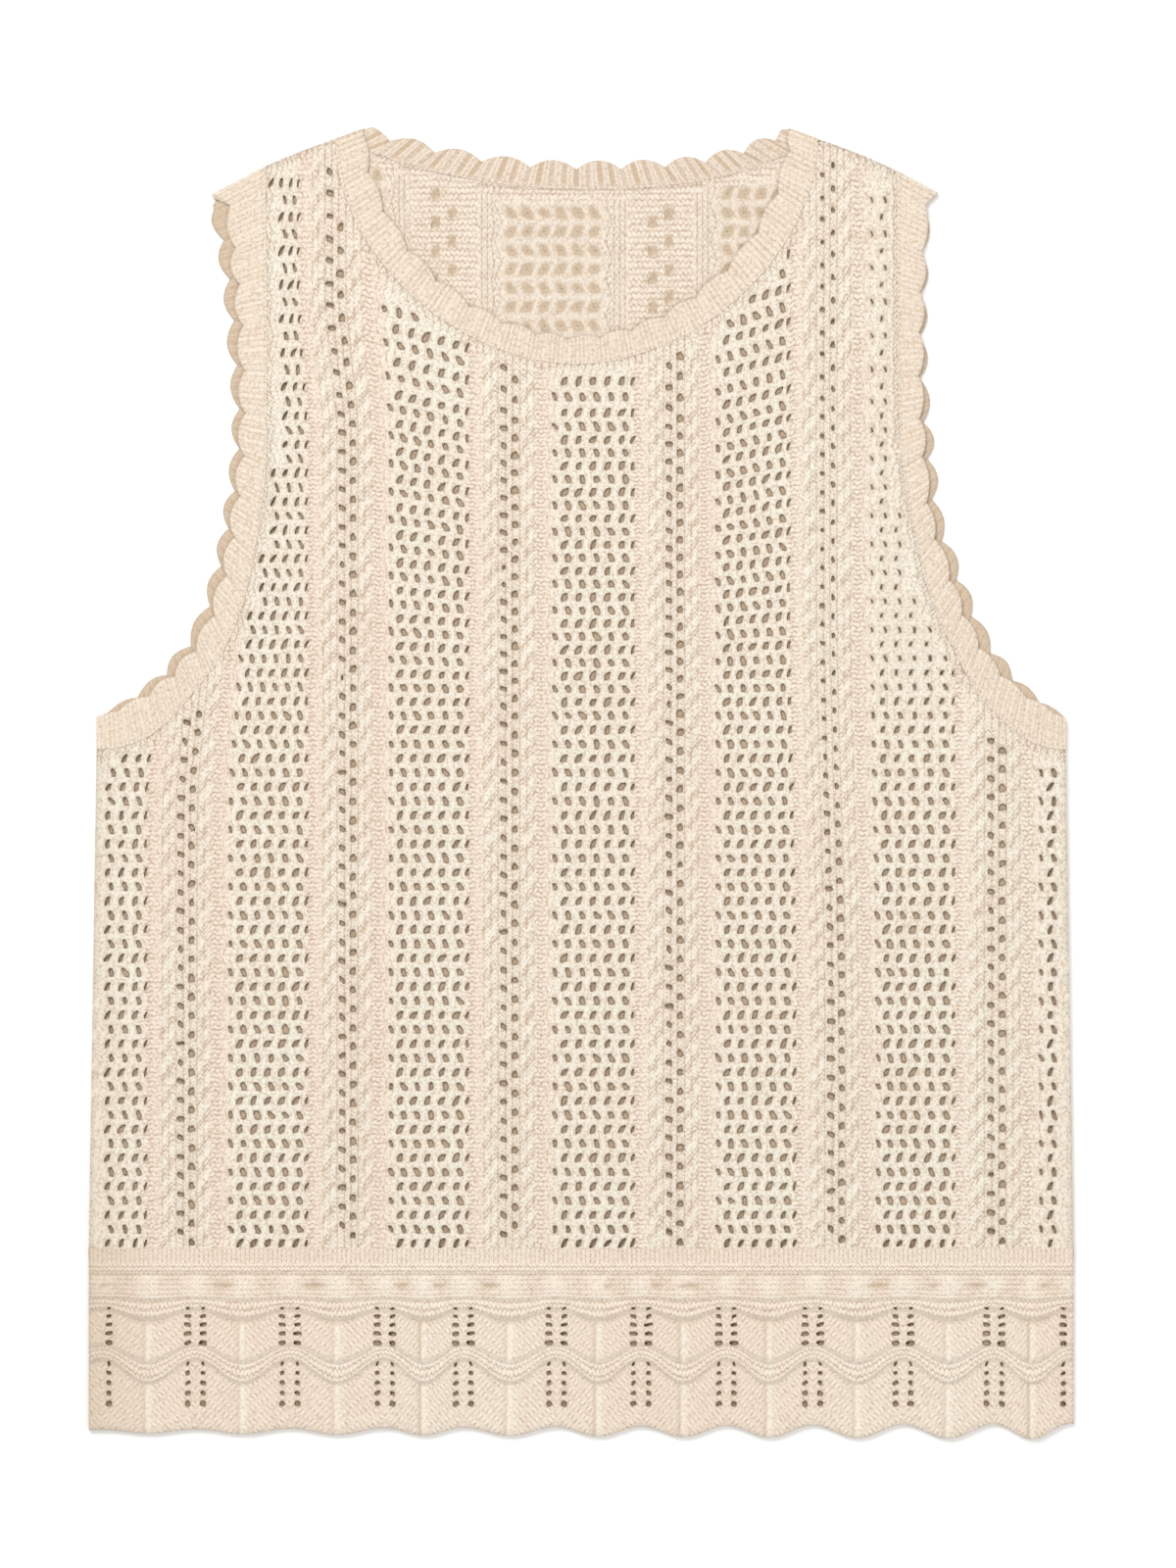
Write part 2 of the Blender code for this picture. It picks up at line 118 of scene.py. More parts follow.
def neck_line(name, reach):
    """A neck line from left to right. Its ends are on the shoulder line, reach from the centre."""
    depth, down, left, right = NECK_ARCS[name]
    top = shoulder_height(SHOULDER_CENTRE + reach)
    line = []
    for angle in np.linspace(0, math.pi, 181):
        square = left if angle < math.pi / 2 else right
        across = math.copysign(abs(math.cos(angle)) ** (2 / square), math.cos(angle))
        drop = depth * abs(math.sin(angle)) ** (2 / down)
        line.append((SHOULDER_CENTRE - reach * across, top - drop))
    return np.array(line)


def armhole_line(table, side):
    """A smooth armhole line from shoulder to underarm, on the left for side -1, right for 1."""
    points = np.array([(side * (row[1] if side < 0 else row[2]), row[0]) for row in table]) * MM
    points[0][1] = shoulder_height(points[0][0])
    ends = np.vstack([2 * points[0] - points[1], points, 2 * points[-1] - points[-2]])
    line = []
    for a, b, c, d in zip(ends, ends[1:], ends[2:], ends[3:]):
        for t in np.arange(12) / 12:
            bend = (2 * a - 5 * b + 4 * c - d) * t**2 + (3 * b - a - 3 * c + d) * t**3
            line.append(0.5 * (2 * b + (c - a) * t + bend))
    return np.array([*line, points[-1]])


def neck_seam(name):
    return evenly(neck_line(name, NECK_POINT + BAND_WIDTH_AT_NECK), 37)


def armhole_seam(side):
    return evenly(armhole_line(ARMHOLE_SEAM, side), 37)


def panel_outline(neck):
    """The cut shape of a body panel, as a closed line."""
    left, right = armhole_seam(-1)[::-1], armhole_seam(1)
    shoulders = []
    for start, end in ((left[-1][0], neck[0][0]), (neck[-1][0], right[0][0])):
        across = np.linspace(start, end, 6)[1:-1]
        shoulders.append([(x, shoulder_height(x)) for x in across])
    corners = np.array([(-HEM_HALF_WIDTH, BODY_BOTTOM), (HEM_HALF_WIDTH, BODY_BOTTOM)])
    return np.vstack([corners[:1], left, shoulders[0], neck, shoulders[1], right, corners[1:]])


def to_outline(points, outline):
    """The nearest places on a closed line, and how far inside it each point is."""
    place, best = points.copy(), np.full(len(points), np.inf)
    crossed = np.zeros(len(points), int)
    for start, end in zip(outline, np.roll(outline, -1, axis=0)):
        step = end - start
        share = np.clip(((points - start) @ step) / (step @ step), 0, 1)
        near = start + share[:, None] * step
        gap = np.linalg.norm(points - near, axis=1)
        closer = gap < best
        place[closer], best[closer] = near[closer], gap[closer]
        spans = (start[1] > points[:, 1]) != (end[1] > points[:, 1])
        level = start[0] + (points[:, 1] - start[1]) * step[0] / (step[1] or 1)
        crossed += spans & (points[:, 0] < level)
    return place, np.where(crossed % 2, best, -best)


def smooth_step(value):
    value = np.clip(value, 0.0, 1.0)
    return value * value * (3 - 2 * value)


def bell(value, middle, reach, power=2):
    """1 at the middle, and a little over a third at its reach to either side."""
    return np.exp(-(((value - middle) / reach) ** power))


def fading(distance, reach):
    """1 at no distance, and 0 from its reach on."""
    return np.clip(1 - distance / reach, 0, 1)


def loft(x, y):
    """How far the front stands off the surface more than at its seams, with its soft folds."""
    folds = np.zeros(np.shape(x))
    for top_x, top_y, low_x, low_y, half_width, lift in np.array(FOLDS) * MM:
        share = np.clip((top_y - y) / (top_y - low_y), 0, 1)
        middle = top_x + (low_x - top_x) * share
        folds = folds + lift * np.sin(math.pi * share) * bell(x, middle, half_width)
    out = np.abs(x - SHOULDER_CENTRE) - NECK_POINT
    below = smooth_step((NECK_POINT_HEIGHT - SHOULDER_SLOPE * out - y) / LOFT_MARGIN)
    across = 1 - np.minimum(np.abs(x) / HEM_HALF_WIDTH, 1) ** 4
    return across * below * smooth_step((y - HEM_EDGE) / LOFT_MARGIN) * (LOFT + folds)


chance = np.random.default_rng(7)
# How much eyelets vary in width and height, and in how they lean, taper and turn.
EYELET_SPREAD = (0.13, 0.10, 0.10, 0.12, 0.12)
YARN_STRAYS = 0.09  # in and out round an eyelet
CLEAR_OF_EDGE = 0.6 * MM
# The points round a block of two by two cells, from its lower left corner.
LOOP = ((0, 0), (1, 0), (2, 0), (2, 1), (2, 2), (1, 2), (0, 2), (0, 1))
# The rings of an open eyelet: share of the way out to its block, width, how far it is sunk in mm,
# and how much painted shade it gets for its depth.
OPEN_RINGS = ((0.35, 1.0, 0.2, 0.15), (0.0, 1.0, 0.5, 1.0))
CELL_EDGES = (  # which neighbour is past each edge of a cell, and the edge's two ends
    ((0, -1), (0, 0), (1, 0)),
    ((1, 0), (1, 0), (1, 1)),
    ((0, 1), (1, 1), (0, 1)),
    ((-1, 0), (0, 1), (0, 0)),
)


def eyelets(count, wide, tall, lean=0.0, taper=0.0, turn=0.0):
    """Yarn-over holes of one kind, no two quite alike. The columns are half width and half height
    in mm, how far they lean over, how much they narrow towards the top, how far they are turned,
    how far they sink in and how much more painted shade than others they get."""
    vary = chance.normal(0, 1, (count, 5)) * EYELET_SPREAD
    sizes = np.tile([wide, tall, lean, taper, turn, 1.0, 0.0], (count, 1))
    sizes[:, :2] *= 1 + vary[:, :2]
    sizes[:, 2:5] += vary[:, 2:]
    return sizes


def eyelet_rings(sizes, block, middle, stitch, rings):
    """The rings of eyelets, from just inside the yarn round them to their narrowest place.

    block is the points round each eyelet, and middle and stitch are the place of its middle on
    the cloth and on the stitch lines. The results are points, places on the stitch lines and how
    much painted shade the points get for their depth.
    """
    wide, tall, lean, taper, turn, sink, deeper = (sizes[:, n : n + 1] for n in range(7))
    angle = np.radians(-135 + 45 * np.arange(8))
    uneven = 1 + YARN_STRAYS * chance.normal(0, 1, (len(sizes), 8))
    x = wide * MM * np.cos(angle) * (1 - taper * np.sin(angle)) * uneven
    y = tall * MM * np.sin(angle) * uneven
    x = x + lean * y
    rim = np.stack([x * np.cos(turn) - y * np.sin(turn), x * np.sin(turn) + y * np.cos(turn)], -1)
    points, depth = [], []
    for share, narrow, sunk, deep in rings:
        flat = (middle[:, None, :2] + rim * narrow) * (1 - share) + block[:, :, :2] * share
        height = block[:, :, 2:] - sunk * sink[:, None] * MM
        points.append(np.concatenate([flat, height], axis=2).reshape(-1, 3))
        # How much painted shade each ring's points get.
        depth.append(np.repeat(np.minimum(deep + deeper[:, 0], 1), 8))
    stitches = [(stitch[:, None] + rim).reshape(-1, 2)] * len(rings)
    return np.vstack(points), np.vstack(stitches), np.concatenate(depth)


def whole(laid):
    """A grid with all its cells kept: the grid, how far inside each point is, and the cells."""
    outline = np.vstack([laid[:, 0], laid[-1, 1:], laid[-2::-1, -1], laid[0, -2:0:-1]])
    inside = np.abs(to_outline(laid.reshape(-1, 2), outline)[1]).reshape(laid.shape[:2])
    return laid, inside, np.ones((laid.shape[0] - 1, laid.shape[1] - 1), bool)


def cut_out(laid, outline):
    """The same for a grid that is cut to an outline, which its outermost points move onto."""
    columns, rows = laid.shape[:2]
    near, inside = to_outline(laid.reshape(-1, 2), outline)
    near, inside = near.reshape(laid.shape), inside.reshape(columns, rows)
    kept = (inside[:-1, :-1] + inside[1:, :-1] + inside[1:, 1:] + inside[:-1, 1:]) / 4 > 0
    touching = np.zeros((columns, rows), int)
    for i, j in ((0, 0), (1, 0), (0, 1), (1, 1)):
        touching[i : columns - 1 + i, j : rows - 1 + j] += kept
    edge = (touching > 0) & (touching < 4)
    laid[edge] = near[edge]
    inside[edge] = 0
    return laid, inside, kept


def has_room(inside, i, j):
    """Whether an eyelet's block of cells lies clear of the edge."""
    block = inside[i : i + 3, j : j + 3]
    return block.size == 9 and block.min() > CLEAR_OF_EDGE


def edge_faces(kept, index, under):
    """Faces all round the edge of the kept cells, down to the inner side."""
    padded = np.pad(kept, 1)
    faces = []
    for (di, dj), begin, end in CELL_EDGES:
        beyond = padded[1 + di : padded.shape[0] - 1 + di, 1 + dj : padded.shape[1] - 1 + dj]
        i, j = np.nonzero(kept & ~beyond)
        a = index[i + begin[0], j + begin[1]]
        b = index[i + end[0], j + end[1]]
        faces.append(np.stack([a, a + under, b + under, b], axis=1))
    return faces


def knit(name, across, up, place, heights, looks, holes=None, outline=None, rings=OPEN_RINGS):
    """A closed knitted sheet on its own lines, across and up, that may be cut to an outline.

    place says where its lines lie, and heights gives its top and its bottom. holes[(i, j)] is the
    size of an eyelet in the two by two cells from line i and j. looks gives the stitch pattern's
    coordinates at a point, how far it is knit and purl, how much painted shade it gets for lying
    deep in the cloth, how far it is rosy and cabled, and how much painted tan shade it has.
    """
    us, vs = np.meshgrid(across, up, indexing="ij")
    laid = place(us, vs)
    laid, inside, kept = whole(laid) if outline is None else cut_out(laid, outline)
    fits = {key: size for key, size in (holes or {}).items() if has_room(inside, *key)}
    plain = kept.copy()
    for i, j in fits:
        plain[i : i + 2, j : j + 2] = False

    top, bottom = heights(us, vs, laid, inside)
    under = us.size  # the inner side's points follow the outer side's
    index = np.arange(under).reshape(us.shape)
    surface = np.dstack([laid, top]).reshape(-1, 3)
    inner = np.dstack([laid, bottom]).reshape(-1, 3)
    stitches = np.stack([us, vs], axis=-1).reshape(-1, 2)
    i, j = np.nonzero(plain)
    cells = np.stack([index[i, j], index[i + 1, j], index[i + 1, j + 1], index[i, j + 1]], axis=1)
    faces = [cells, cells[:, ::-1] + under]

    corner = np.array(list(fits), int).reshape(-1, 2)
    sizes = np.array(list(fits.values()), float).reshape(-1, 7)
    outer = np.stack([index[corner[:, 0] + a, corner[:, 1] + b] for a, b in LOOP], axis=1)
    heart = index[corner[:, 0] + 1, corner[:, 1] + 1]
    ringed = eyelet_rings(sizes, surface[outer], surface[heart], stitches[heart], rings)
    ring = 2 * under + np.arange(outer.size).reshape(-1, 8)
    loops = [outer, *(ring + outer.size * n for n in range(len(rings))), outer + under]
    for high, low in zip(loops, loops[1:]):
        ahead_high, ahead_low = np.roll(high, -1, axis=1), np.roll(low, -1, axis=1)
        faces.append(np.stack([high, ahead_high, ahead_low, low], axis=-1).reshape(-1, 4))
    rounded = sum(len(part) for part in faces)  # the rest meet them at a crisp corner
    faces = np.vstack(faces + edge_faces(kept, index, under))
    ahead, beside = laid[1, 0] - laid[0, 0], laid[0, 1] - laid[0, 0]
    if ahead[0] * beside[1] < ahead[1] * beside[0]:  # its lines turn the other way round
        faces = faces[:, ::-1]
    used, renumbered = np.unique(faces, return_inverse=True)
    faces = renumbered.reshape(faces.shape)
    points = np.vstack([surface, inner, ringed[0]])[used]
    stitches = np.vstack([stitches, stitches, ringed[1]])[used]
    depth = np.concatenate([np.zeros(2 * under), ringed[2]])[used]
    pattern, ground, tone = looks(stitches, points, depth)

    mesh = bpy.data.meshes.new(name)
    mesh.from_pydata(points.tolist(), [], faces.tolist())
    mesh.polygons.foreach_set("use_smooth", np.arange(len(faces)) < rounded)
    corners = np.empty(len(mesh.loops), int)
    mesh.loops.foreach_get("vertex_index", corners)
    layer = mesh.uv_layers.new(name="stitches")
    layer.data.foreach_set("uv", (pattern[corners] / MM).astype(np.float32).ravel())
    for title, parts in (("ground", ground), ("tone", tone)):
        parts = np.stack([np.broadcast_to(part, len(points)) for part in parts], axis=1)
        attribute = mesh.attributes.new(title, "FLOAT_VECTOR", "POINT")
        attribute.data.foreach_set("vector", parts.astype(np.float32).ravel())
    mesh.update()
    made = bpy.data.objects.new(name, mesh)
    bpy.context.scene.collection.objects.link(made)
    return made


# Painted shade: between the stitches, tan at edges and in rib valleys, and deep in the cloth.
PAINTED_SHADE_BETWEEN_STITCHES = "#B3967C"
PAINTED_SHADE_TAN = "#BFA78B"
PAINTED_SHADE_DEEP = "#BDA68A"


def linear(colour):
    """An sRGB hex colour as linear RGBA."""
    parts = [int(colour[i : i + 2], 16) / 255 for i in (1, 3, 5)]
    return (*[c / 12.92 if c <= 0.04045 else ((c + 0.055) / 1.055) ** 2.4 for c in parts], 1)


def add_node(tree, kind, inputs=(), output=0, **settings):
    """Adds a node with its settings and links, and gives one of its outputs.

    Each of its inputs, in order or by name or number, is a value or another node's output.
    """
    node = tree.nodes.new("ShaderNode" + kind)
    for key, value in settings.items():
        setattr(node, key, value)
    for key, value in inputs.items() if isinstance(inputs, dict) else enumerate(inputs):
        if isinstance(value, bpy.types.NodeSocket):
            tree.links.new(value, node.inputs[key])
        else:
            node.inputs[key].default_value = value
    return node.outputs[output]


def cotton(name, cream, rosy, wale=3.05, course=2.06, contrast=0.8, speckle=0.6):
    """Dull spun cotton, knitted. Its hairs scatter light, so it is soft with a faint sheen.

    Open lace is cream and close knitting rosier, and yarn deep in the cloth gets a tan painted
    shade. wale and course are the width and height of a stitch in mm, drawn no finer than the
    picture can show. contrast is how dark the painted shade between the stitches is, and speckle
    how dark the painted shade is on the low, shaded sides of the yarn's lumps.
    """
    made = bpy.data.materials.new(name)
    made.use_nodes = True
    tree = made.node_tree
    shader = tree.nodes["Principled BSDF"]

    def wave(value):
        """Up from 0 to 1 and down again once in each whole step of the value."""
        turn = add_node(tree, "Math", (value, 2 * math.pi), operation="MULTIPLY")
        swing = add_node(tree, "Math", (turn,), operation="SINE")
        return add_node(tree, "Math", (swing, 0.5, 0.5), operation="MULTIPLY_ADD")

    stitches = add_node(tree, "UVMap", uv_map="stitches")
    across, up, _ = add_node(tree, "SeparateXYZ", (stitches,)).node.outputs
    ground = add_node(tree, "Attribute", output="Vector", attribute_name="ground")
    knit_share, purl_share, depth = add_node(tree, "SeparateXYZ", (ground,)).node.outputs
    tone = add_node(tree, "Attribute", output="Vector", attribute_name="tone")
    rosy_share, cable_share, painted_tan_shade = add_node(tree, "SeparateXYZ", (tone,)).node.outputs
    place = add_node(tree, "TexCoord", output="Object")

    # Hand-loose knitting: the stitch lines wander by a fraction of a stitch, over 6 mm.
    wander = add_node(tree, "TexNoise", {"Vector": place, "Scale": 1 / (6 * MM), "Detail": 2})
    wander = add_node(tree, "Math", (wander, 1.6, -0.8), operation="MULTIPLY_ADD")
    # Knit stitches: a V in each wale, one above another, with a groove between the wales.
    wales = add_node(tree, "Math", (across, wale), operation="DIVIDE")
    from_middle = add_node(tree, "Math", (wales,), operation="FRACT")
    from_middle = add_node(tree, "Math", (from_middle, 2, -1), operation="MULTIPLY_ADD")
    from_middle = add_node(tree, "Math", (from_middle,), operation="ABSOLUTE")
    climb = add_node(tree, "Math", (wander, 0.5, up), operation="MULTIPLY_ADD")
    climb = add_node(tree, "Math", (climb, course), operation="DIVIDE")
    climb = add_node(tree, "Math", (from_middle, 0.85, climb), operation="MULTIPLY_ADD")
    vee = add_node(tree, "Math", (wave(climb), 0.7, 0.3), operation="MULTIPLY_ADD")
    groove = add_node(tree, "Math", (from_middle, 3.5), operation="POWER")
    clear = add_node(tree, "Math", (1, groove), operation="SUBTRACT")
    vee = add_node(tree, "Math", (vee, clear), operation="MULTIPLY")
    # Purl stitches: level bumps in rows, each row half a bump along from the one below it.
    row = add_node(tree, "Math", (wander, 0.4, up), operation="MULTIPLY_ADD")
    row = add_node(tree, "Math", (row, course), operation="DIVIDE")
    row = add_node(tree, "Math", (from_middle, 0.35, row), operation="MULTIPLY_ADD")
    number = add_node(tree, "Math", (row,), operation="FLOOR")
    beads = add_node(tree, "Math", (across, 0.85 * wale), operation="DIVIDE")
    beads = add_node(tree, "Math", (number, 0.5, beads), operation="MULTIPLY_ADD")
    arch = add_node(tree, "Math", (row,), operation="FRACT")
    arch = add_node(tree, "Math", (arch, math.pi), operation="MULTIPLY")
    arch = add_node(tree, "Math", (arch,), operation="SINE")
    knob = add_node(tree, "Math", (wave(beads), 0.7, 0.3), operation="MULTIPLY_ADD")
    knob = add_node(tree, "Math", (knob, arch), operation="MULTIPLY")
    knob = add_node(tree, "Math", (knob, 0.65), operation="POWER")
    # Cables: two cords of yarn that cross once in 10.4 mm, with their own slanting stitches.
    twist = add_node(tree, "Math", (up, 10.4), operation="DIVIDE")
    twist = add_node(tree, "Math", (across, -0.13, twist), operation="MULTIPLY_ADD")
    cord = add_node(tree, "Math", (wander, 0.12, twist), operation="MULTIPLY_ADD")
    cord = add_node(tree, "Math", (wave(cord), 0.65), operation="MULTIPLY")
    slants = add_node(tree, "Math", (twist, 4, wander), operation="MULTIPLY_ADD")
    cord = add_node(tree, "Math", (wave(slants), 0.35, cord), operation="MULTIPLY_ADD")
    # Spun yarn: lumps about a millimetre long and fibres half a millimetre.
    lumps = add_node(tree, "TexNoise", {"Vector": place, "Scale": 1 / (1.2 * MM), "Detail": 2})
    fibres = add_node(tree, "TexNoise", {"Vector": place, "Scale": 1 / (0.5 * MM), "Detail": 2})
    spun = add_node(tree, "Math", (fibres, 0.4), operation="MULTIPLY")
    spun = add_node(tree, "Math", (lumps, 1.1, spun), operation="MULTIPLY_ADD")

    stitch = add_node(tree, "Math", (vee, knit_share), operation="MULTIPLY")
    stitch = add_node(tree, "Math", (knob, purl_share, stitch), operation="MULTIPLY_ADD")
    stitch = add_node(tree, "Math", (cord, cable_share, stitch), operation="MULTIPLY_ADD")
    height = add_node(tree, "Math", (spun, 0.55, stitch), operation="MULTIPLY_ADD")
    relief = add_node(tree, "Bump", {"Height": height, "Strength": 0.5, "Distance": 0.7 * MM})
    tree.links.new(relief, shader.inputs["Normal"])

    # Colour: cream to rosy, with rosy patches 38 mm wide. Painted shade, tan, lies between the
    # stitches and on the shaded sides of the lumps, at the panels' edges, over the back armhole
    # bands and in the ribs' valleys, and tanner still deep inside the cloth.
    patch = add_node(tree, "TexNoise", {"Vector": place, "Scale": 1 / (38 * MM), "Detail": 4})
    patch = add_node(tree, "MapRange", (patch, 0.4, 0.75, 0, 0.5))
    close = add_node(tree, "Math", (knit_share, purl_share), operation="ADD")
    close = add_node(tree, "Math", (close, cable_share), operation="ADD")
    # Painted shade between the stitches, where the stitch relief is low.
    gap = add_node(tree, "Math", (stitch, -1.6, close), operation="MULTIPLY_ADD")
    gap = add_node(tree, "Math", (gap, 0), operation="MAXIMUM")
    # Painted shade on the low, shaded sides of the yarn's lumps.
    shaded = add_node(tree, "MapRange", (lumps, 0.34, 0.54, speckle, 0))
    gap = add_node(tree, "Math", (gap, shaded), operation="ADD")
    gap = add_node(tree, "Math", (gap, contrast), operation="MULTIPLY")
    gap = add_node(tree, "Math", (gap, 0.8), operation="MINIMUM")
    # Painted tan shade at the edges, over whole bands and in the ribs' valleys.
    edge = add_node(tree, "Math", (painted_tan_shade, 0.8), operation="MULTIPLY")
    # Painted shade deep in the cloth: in eyelets and slits, and where the front covers the back.
    painted_depth_shade = add_node(tree, "Math", (depth, 0.9), operation="MULTIPLY")
    painted_depth_shade = add_node(tree, "Math", (painted_depth_shade, 1), operation="MINIMUM")
    colours = {0: rosy_share, 6: linear(cream), 7: linear(rosy)}
    body = add_node(tree, "Mix", colours, 2, data_type="RGBA")
    for share, colour in (
        (patch, rosy), (gap, PAINTED_SHADE_BETWEEN_STITCHES), (edge, PAINTED_SHADE_TAN), (painted_depth_shade, PAINTED_SHADE_DEEP),
    ):
        colours = {0: share, 6: body, 7: linear(colour)}
        body = add_node(tree, "Mix", colours, 2, data_type="RGBA")
    tree.links.new(body, shader.inputs["Base Color"])
    shader.inputs["Roughness"].default_value = 0.92
    shader.inputs["Specular IOR Level"].default_value = 0.2
    shader.inputs["Sheen Weight"].default_value = 0.15
    shader.inputs["Sheen Roughness"].default_value = 0.5
    return made


BACK_REPEAT = 94.4 * MM  # from one column of net to the next
BACK_NET_CENTRE = -12.5 * MM
BACK_COLUMNS = [BACK_NET_CENTRE + repeat * BACK_REPEAT for repeat in range(-3, 4)]
BACK_CELL = 7.25 * MM
BACK_NET_LINES = [half * BACK_CELL / 2 for half in range(-6, 7)]
BACK_LINES = (24.2, 26.6, 29.0, 31.4, 33.9, 36.4, 38.9, 41.4, 43.6, 45.8)  # past the net, in mm
BACK_NET = 22.0  # half its width in mm
BACK_HALF_ROW = 4.1 * MM
BACK_SWAY = 2.1 * MM
BACK_RISE = 0.6 * MM  # into the hollow inner side of the front's lace
NECK_CLOTH = 240 * MM  # height of the lowest of the back that shows inside the neck
BACK_EYELET = (2.25, 2.5)  # half width and half height in mm
WIDEST = 2.8
# The rings of an eyelet that is all but closed below: the surface doesn't show through it.
CLOSING_RINGS = (
    (0.3, 1.0, 0.1, 0.3), (0.0, 0.85, 0.7, 0.9), (0.0, 0.1, 0.8, 0.7), (0.0, 0.03, 0.8, 0.7),
)


def from_column(us, centre, repeat):
    """How far to the right of the middle of its own column a line is."""
    repeats = (us - centre) / repeat
    return (repeats - np.round(repeats)) * repeat


def lines_at(lines, places):
    """The numbers of the lines at the given places, for the places that have one."""
    nearest = [int(np.abs(lines - place).argmin()) for place in places]
    return [n for n, place in zip(nearest, places) if abs(lines[n] - place) < 0.05 * MM]


def lay_back(us, vs):
    """The strands of the net sway from row to row, and the ribs beside it run straight."""
    out = np.abs(from_column(us, BACK_NET_CENTRE, BACK_REPEAT))
    in_net = np.clip((27 * MM - out) / (4 * MM), 0, 1)
    sway = np.cos(math.pi * (vs - back_up[2]) / (2 * BACK_HALF_ROW))
    return np.stack([us + BACK_SWAY * in_net * sway, vs], axis=-1)


def under_front(laid, inside, rise):
    """How far the back is raised by following the front, and into the hollow of its lace."""
    follows = BACK_FOLLOWS * loft(laid[..., 0], laid[..., 1])
    return follows + rise * smooth_step((inside - 8 * MM) / (6 * MM))


def back_heights(us, vs, laid, inside):
    """Inside the neck, ribs stand up beside the net and along the band. Elsewhere it is smooth, and
    follows the front that lies on it."""
    out = np.abs(from_column(us, BACK_NET_CENTRE, BACK_REPEAT))
    raised = 0.5 * bell(out, 27.2 * MM, 3.4 * MM, 4) - 0.35
    raised += 0.45 * bell(inside, 2.5 * MM, 2 * MM) * (laid[..., 1] > NECK_CLOTH)
    raised[:, ::2] += 0.4 * (out < BACK_NET * MM)[:, ::2]
    raised += 0.1 * chance.normal(0, 1, us.shape)
    raised = raised * smooth_step(inside / (3 * MM))
    shown = np.clip(to_outline(laid.reshape(-1, 2), neck_hollow)[1] / (3 * MM) + 1, 0, 1)
    shown = shown.reshape(us.shape)
    rolled = 0.9 * fading(HEM_HALF_WIDTH - np.abs(laid[..., 0]), 3 * MM) ** 2
    follows = (1 - shown) * under_front(laid, inside, BACK_RISE)
    return WALL + (raised * shown - rolled) * MM + follows, np.zeros(us.shape)


def back_looks(stitches, points, depth):
    """Knit ribs and net, purl between them, and tan painted shade where the front covers it."""
    out = np.abs(from_column(stitches[:, 0], BACK_NET_CENTRE, BACK_REPEAT)) / MM
    rib = np.clip(5.2 - np.abs(out - 27.4), 0, 1)
    from_seam = np.linalg.norm(points[:, None, :2] - back_neck[None], axis=2).min(axis=1)
    purl = np.maximum(np.clip((out - 32) / 1.5, 0, 1), np.clip(2.2 - from_seam / (4 * MM), 0, 1))
    net = 0.4 * (out < BACK_NET)
    # Painted shade where the front lies over the back, fading out just inside the neck.
    shade_under_front = np.clip(0.2 - to_outline(points[:, :2], neck_hollow)[1] / (6 * MM), 0, 1)
    shade_under_front = shade_under_front * (points[:, 2] > 1 * MM)
    depth = np.maximum(depth, shade_under_front)
    knit_share = np.maximum(rib, net) * (1 - purl * 0.5)
    return stitches, (knit_share, purl, depth), (0.35 + 0.4 * purl, 0.0, 0.0)


back_neck = neck_seam("back_seam")
above_shoulders = [(0.1, 0.34), (-0.1, 0.34)]
neck_hollow = np.vstack([neck_line("front_edge", NECK_POINT), above_shoulders])
back_across = []
for middle in BACK_COLUMNS:
    back_across += [middle + off for off in BACK_NET_LINES]
    back_across += [middle + side * out * MM for out in BACK_LINES for side in (-1, 1)]
back_across = np.array(sorted(x for x in back_across if abs(x) < HEM_HALF_WIDTH + 5 * MM))
back_up = np.arange(BODY_BOTTOM - BACK_HALF_ROW, NECK_POINT_HEIGHT + BACK_HALF_ROW, BACK_HALF_ROW)
back_holes = {}
for middle in BACK_COLUMNS:
    cells = lines_at(back_across, [middle + off for off in BACK_NET_LINES[:-1:2]])
    for j in range(2, len(back_up) - 2, 2):
        lean = -0.4 if j % 4 == 2 else 0.4  # as the strands beside them lean
        sizes = eyelets(len(cells), *BACK_EYELET, lean, 0.3)
        sizes[:, :2] = np.minimum(sizes[:, :2], WIDEST)
        back_holes.update({(i, j): size for i, size in zip(cells, sizes)})
    for off, start in ((-BACK_LINES[-1], 2), (BACK_LINES[-3], 4)):
        for i in lines_at(back_across, [middle + off * MM]):
            sizes = eyelets(len(back_up), 1.8, 2.2, 0.3, 0.3)
            back_holes.update({(i, j): sizes[j] for j in range(start, len(back_up) - 2, 3)})
spots = np.array([(back_across[i], back_up[j]) for i, j in back_holes])
for size, into_view in zip(back_holes.values(), to_outline(spots, neck_hollow)[1]):
    if into_view < -3 * MM:  # pressed flat and narrow under the front
        size[[0, 1, 5]] *= (0.65, 0.7, 0.3)
back = knit(
    "back_lace", back_across, back_up, lay_back, back_heights, back_looks, back_holes,
    panel_outline(back_neck), CLOSING_RINGS,
)
# A little darker than the front's cotton: painted shade for the back, which lies under the front.
back_cotton = cotton("cotton_back", "#E9E0D2", "#E7DACA", wale=2.4, course=2.7, contrast=0.7)
back.data.materials.append(back_cotton)
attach(back, "root")
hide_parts("back_body")


# ---------------------------------------------------------------------------------------------
# Back hem border. The same cotton in two tiers of lace under a plain strip, scalloped by its
# stitches at the free edge, and sewn to the back panel and down both sides.

HEM_SCALLOP = 2.1 * MM  # half its depth in the middle
HEM_SCALLOP_GROWS = 1.4 * MM  # flatter by this much at the left, deeper at the right
LIP_START = -203.22 * MM  # above it a row of stitches is linked over the edge of the panel
HEM_PAIRS = (-208.5, -167.6, -126.6, -85.3, -51.2, -10.7, 26.0, 63.1, 100.6, 139.9, 179.5, 212.8)
PAIR_SPACING = 39 * MM  # on average
PAIR_LINES = (0.0, 1.2, 3.3, 5.4)  # lines either side of a pair of eyelet columns, in mm
